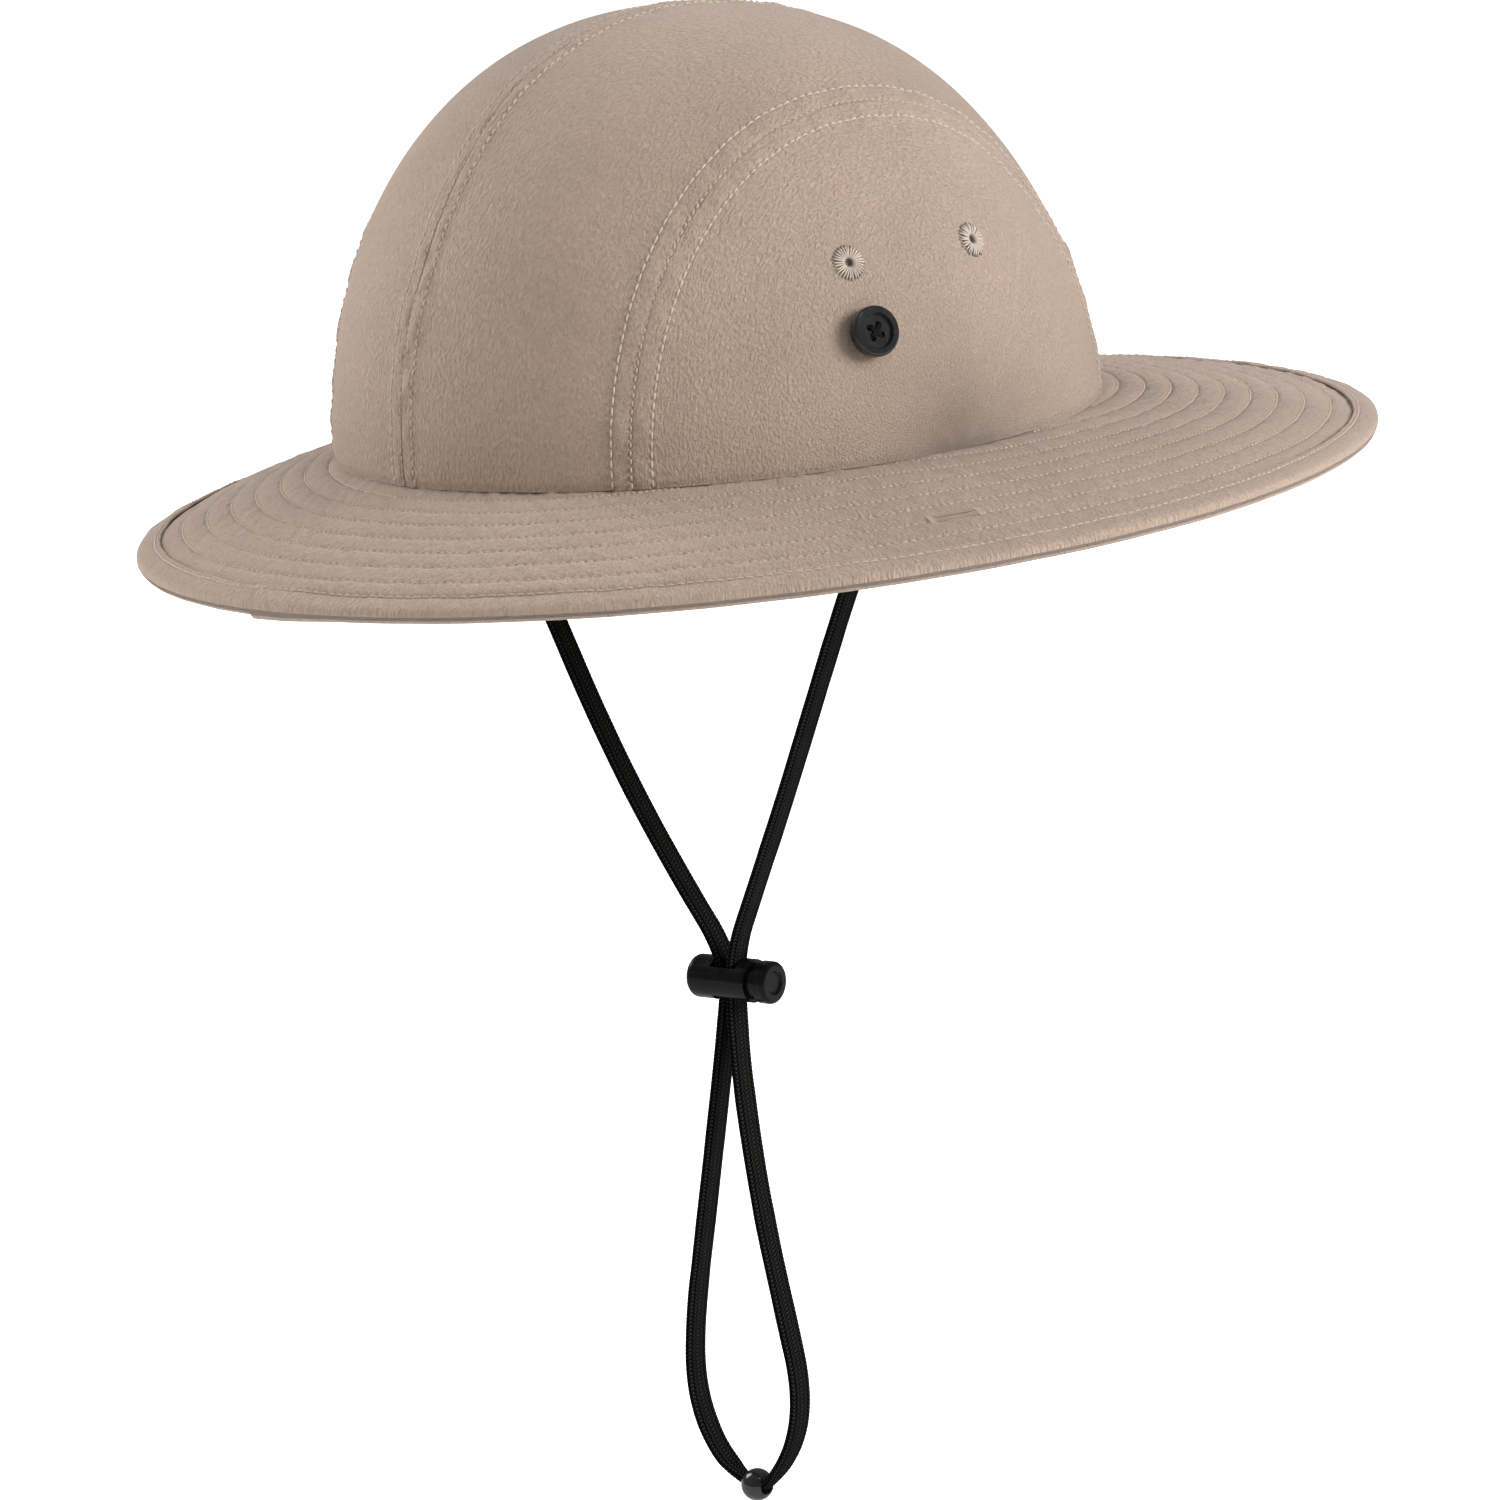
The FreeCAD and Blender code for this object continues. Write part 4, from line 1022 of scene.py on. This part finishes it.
def cloth_material(name, colour, crepe, weave_pitch, weave_depth):
    """Woven cloth: fine weave, irregular crepe grain, faint patches, worn high spots and painted
    shade in creases and hollows.
    """
    nodes = Nodes(bpy.data.materials.new(name))
    flat = nodes.add("ShaderNodeUVMap", uv_map="cloth").outputs["UV"]
    split = nodes.add("ShaderNodeSeparateXYZ")
    nodes.join(flat, split.inputs[0])
    turn = 2 * math.pi / weave_pitch
    warp = nodes.maths("SINE", nodes.product(split.outputs["X"], turn), 0)
    weft = nodes.maths("SINE", nodes.product(split.outputs["Y"], turn), 0)
    stretch = nodes.add("ShaderNodeMapping", Scale=(1, 0.5, 1))
    nodes.join(flat, stretch.inputs["Vector"])
    grain = nodes.noise(0.0007, 3, 0.6, 0.6, stretch.outputs["Vector"])
    fleck = nodes.spread(grain, 0.3, 0.7, 1 - crepe, 1 + crepe)
    mottle = nodes.spread(nodes.noise(0.0035, 3, 0.6), 0.3, 0.7, 0.975, 1.025)
    patches = nodes.spread(nodes.noise(0.035), 0.3, 0.7, 0.95, 1.05)
    # Pointiness: lighter on ridges and edges as worn high spots, darker in creases and hollows as
    # painted shade.
    worn = nodes.pointed(0.44, 0.56, 0.93, 1.06)
    woven = nodes.bump(nodes.product(warp, weft), weave_depth)
    return nodes.finish(
        colour, nodes.product(fleck, mottle, patches, worn), nodes.bump(grain, 0.0010, 0.9, woven),
        Roughness=nodes.spread(grain, 0.2, 0.8, 0.92, 0.72), Sheen_Weight=0.25,
        Sheen_Roughness=0.45, Specular_IOR_Level=0.25)


def thread_material(name, colour, sheen=0.3, painted_depth_shade=False):
    """Twisted thread: fine fibres, lighter and darker plies, and painted shade in its hollows and,
    when asked, on its low points.
    """
    nodes = Nodes(bpy.data.materials.new(name))
    fibres = nodes.noise(0.00028, 2, 0.6, 0.5)
    # Pointiness darkens the thread in its hollows and between strands: painted shade.
    factor = nodes.product(
        nodes.pointed(0.42, 0.52, 0.35, 1.05),
        nodes.spread(fibres, 0.3, 0.7, 0.82, 1.15),
        nodes.spread(nodes.noise(0.0022), 0.3, 0.7, 0.94, 1.07))
    if painted_depth_shade:
        # Points marked low, such as strands going down a vent hole, are darkened: painted shade.
        factor = nodes.product(factor, nodes.proud(0.0, 0.6, 0.28, 1.08))
    return nodes.finish(colour, factor, nodes.bump(fibres, 0.00008, 0.8), Roughness=0.6,
                        Sheen_Weight=sheen, Specular_IOR_Level=0.3)


def plastic_material(name, colour, roughness, grain_size, grain_depth, gloss):
    """Moulded plastic: a faint grain, uneven gloss and a few rubbed marks."""
    nodes = Nodes(bpy.data.materials.new(name))
    grain = nodes.noise(grain_size, 3, 0.6)
    rubbed = nodes.noise(0.004, 4, 0.65, 0.6)
    return nodes.finish(
        colour, nodes.spread(rubbed, 0.3, 0.7, 0.8, 1.35), nodes.bump(grain, grain_depth, 0.6),
        Roughness=nodes.spread(rubbed, 0.35, 0.75, roughness - 0.05, roughness + 0.12),
        Specular_IOR_Level=gloss)


def braid_material():
    """Matt black braid, lighter where it stands proud and darker between its stitches: painted
    highlight and painted shade.
    """
    nodes = Nodes(bpy.data.materials.new("black_braid"))
    filaments = nodes.noise(0.0003, 3, 0.6, 0.8)
    # Painted shade between the stitches and painted highlight on their crowns.
    factor = nodes.product(
        nodes.proud(0.35, 1.0, 0.1, 3.6),
        nodes.spread(filaments, 0.3, 0.7, 0.7, 1.3),
        nodes.spread(nodes.noise(0.006), 0.3, 0.7, 0.92, 1.08))
    return nodes.finish((0.0085, 0.0085, 0.0081), factor, nodes.bump(filaments, 0.0001, 0.8),
                        Roughness=0.78, Specular_IOR_Level=0.02)


def steel_material():
    """Bright spring wire with fine drawn lines."""
    nodes = Nodes(bpy.data.materials.new("spring_steel"))
    lines = nodes.noise(0.0004, 3, 0.6, 2.0)
    return nodes.finish(
        (0.55, 0.55, 0.56), nodes.spread(lines, 0.3, 0.7, 0.8, 1.1),
        nodes.bump(lines, 0.00003, 0.5), Roughness=nodes.spread(lines, 0.3, 0.7, 0.22, 0.42),
        Metallic=1.0)


def repaint(node, material):
    """Give a CAD part that is kept its material."""
    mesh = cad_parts[node].data
    mesh.materials.clear()
    mesh.materials.append(material)


# -------- floor, lights and camera

def floor():
    """Plain pale floor just under the hanging bead."""
    half = 8.0
    height = -0.273
    corners = [(-half, -half), (half, -half), (half, half), (-half, half)]
    mesh = bpy.data.meshes.new("floor")
    mesh.from_pydata([(x, y, height) for x, y in corners], [], [(0, 1, 2, 3)])
    nodes = Nodes(bpy.data.materials.new("pale_floor"))
    nodes.last["Base Color"].default_value = (0.93, 0.93, 0.93, 1)
    nodes.last["Roughness"].default_value = 0.9
    nodes.last["Emission Color"].default_value = (1, 1, 1, 1)
    nodes.join(nodes.by_ray(0.0, 0.95), nodes.last["Emission Strength"])
    mesh.materials.append(nodes.owner)
    new_object("floor", mesh)


AZIMUTH = math.radians(49.11)
ELEVATION = math.radians(11.67)
ROLL = math.radians(3.915)
TARGET = np.array([4.757, -1.792, -79.996])
DISTANCE = 1746.09
LENS = 171.655


def look(name, data, target, azimuth, elevation, distance, roll=0.0):
    """A camera or light that faces a place from a direction."""
    level = np.array([math.cos(azimuth), math.sin(azimuth), 0])
    back = np.array([
        math.sin(azimuth) * math.cos(elevation),
        -math.cos(azimuth) * math.cos(elevation),
        math.sin(elevation),
    ])
    upright = np.cross(back, level)
    right = level * math.cos(roll) - upright * math.sin(roll)
    up = upright * math.cos(roll) + level * math.sin(roll)
    obj = new_object(name, data)
    rows = zip(right, up, back, (target + distance * back) * MM)
    obj.matrix_world = Matrix([*rows, (0, 0, 0, 1)])
    return obj


def camera():
    """The photograph's view."""
    data = bpy.data.cameras.new("camera")
    data.lens = LENS
    data.sensor_width = 36
    data.clip_end = 50
    bpy.context.scene.camera = look("camera", data, TARGET, AZIMUTH, ELEVATION, DISTANCE, ROLL)


def lamp(name, azimuth, elevation, distance, size, power, mirrored=True):
    """A soft square light facing the hat, which glossy pieces mirror or not."""
    data = bpy.data.lights.new(name, "AREA")
    data.energy = power
    data.size = size
    obj = look(name, data, np.zeros(3), math.radians(azimuth), math.radians(elevation), distance)
    obj.visible_glossy = mirrored


def lights():
    """White surroundings, a soft key from the right of the view, weaker fills and a glint."""
    world = bpy.data.worlds.new("studio")
    bpy.context.scene.world = world
    nodes = Nodes(world, "Background")
    nodes.last["Color"].default_value = (1, 1, 1, 1)
    nodes.join(nodes.by_ray(0.22, 1.0), nodes.last["Strength"])
    lamp("key", 116, 19, 1600, 0.75, 31, mirrored=False)
    lamp("fill", -75, 36, 1600, 0.9, 18)
    lamp("front", -25, 12, 1600, 0.9, 12.5, mirrored=False)
    lamp("top", 20, 84, 1800, 0.9, 4.5, mirrored=False)
    lamp("glint", 82, 50, 1600, 0.16, 2.2)
    bpy.context.scene.view_settings.view_transform = "Standard"


# -------- the whole hat

shell_fabric = cloth_material("shell_fabric", (0.375, 0.282, 0.222), 0.14, 0.00045, 0.000015)
lining = cloth_material("lining_fabric", (0.350, 0.272, 0.219), 0.04, 0.0007, 0.00004)
felt = cloth_material("interlining_felt", (0.62, 0.60, 0.56), 0.12, 0.0016, 0.0001)
thread = thread_material("beige_thread", (0.50, 0.415, 0.35))
quilting_thread = thread_material("quilting_thread", (0.445, 0.355, 0.29))
buttonhole_thread = thread_material("buttonhole_thread", (0.37, 0.277, 0.218))
eyelet_thread = thread_material("eyelet_thread", (0.51, 0.425, 0.36), painted_depth_shade=True)
black_thread = thread_material("black_thread", (0.004, 0.004, 0.004), sheen=0.0)
gloss_plastic = plastic_material(
    "gloss_plastic", (0.013, 0.0136, 0.0143), 0.12, 0.0009, 0.000003, 0.5)
satin_plastic = plastic_material(
    "satin_plastic", (0.004, 0.004, 0.004), 0.22, 0.0005, 0.00001, 0.1)
black_braid = braid_material()

camera()
bead(gloss_plastic)
chin_cord(black_braid)
cord_ends(black_braid, black_thread)
crown(shell_fabric, thread, quilting_thread)
seam_tapes(lining, thread)
sweatband(lining, thread)
brim(shell_fabric, felt, quilting_thread)
binding(shell_fabric, quilting_thread)
eyelets(eyelet_thread)
button_threads(black_thread)
buttonholes(buttonhole_thread)
for side_name in SIDES:
    repaint(f"side_button_{side_name}", gloss_plastic)
repaint("cord_lock_barrel", satin_plastic)
repaint("cord_lock_plunger", satin_plastic)
spring(steel_material())
floor()
lights()
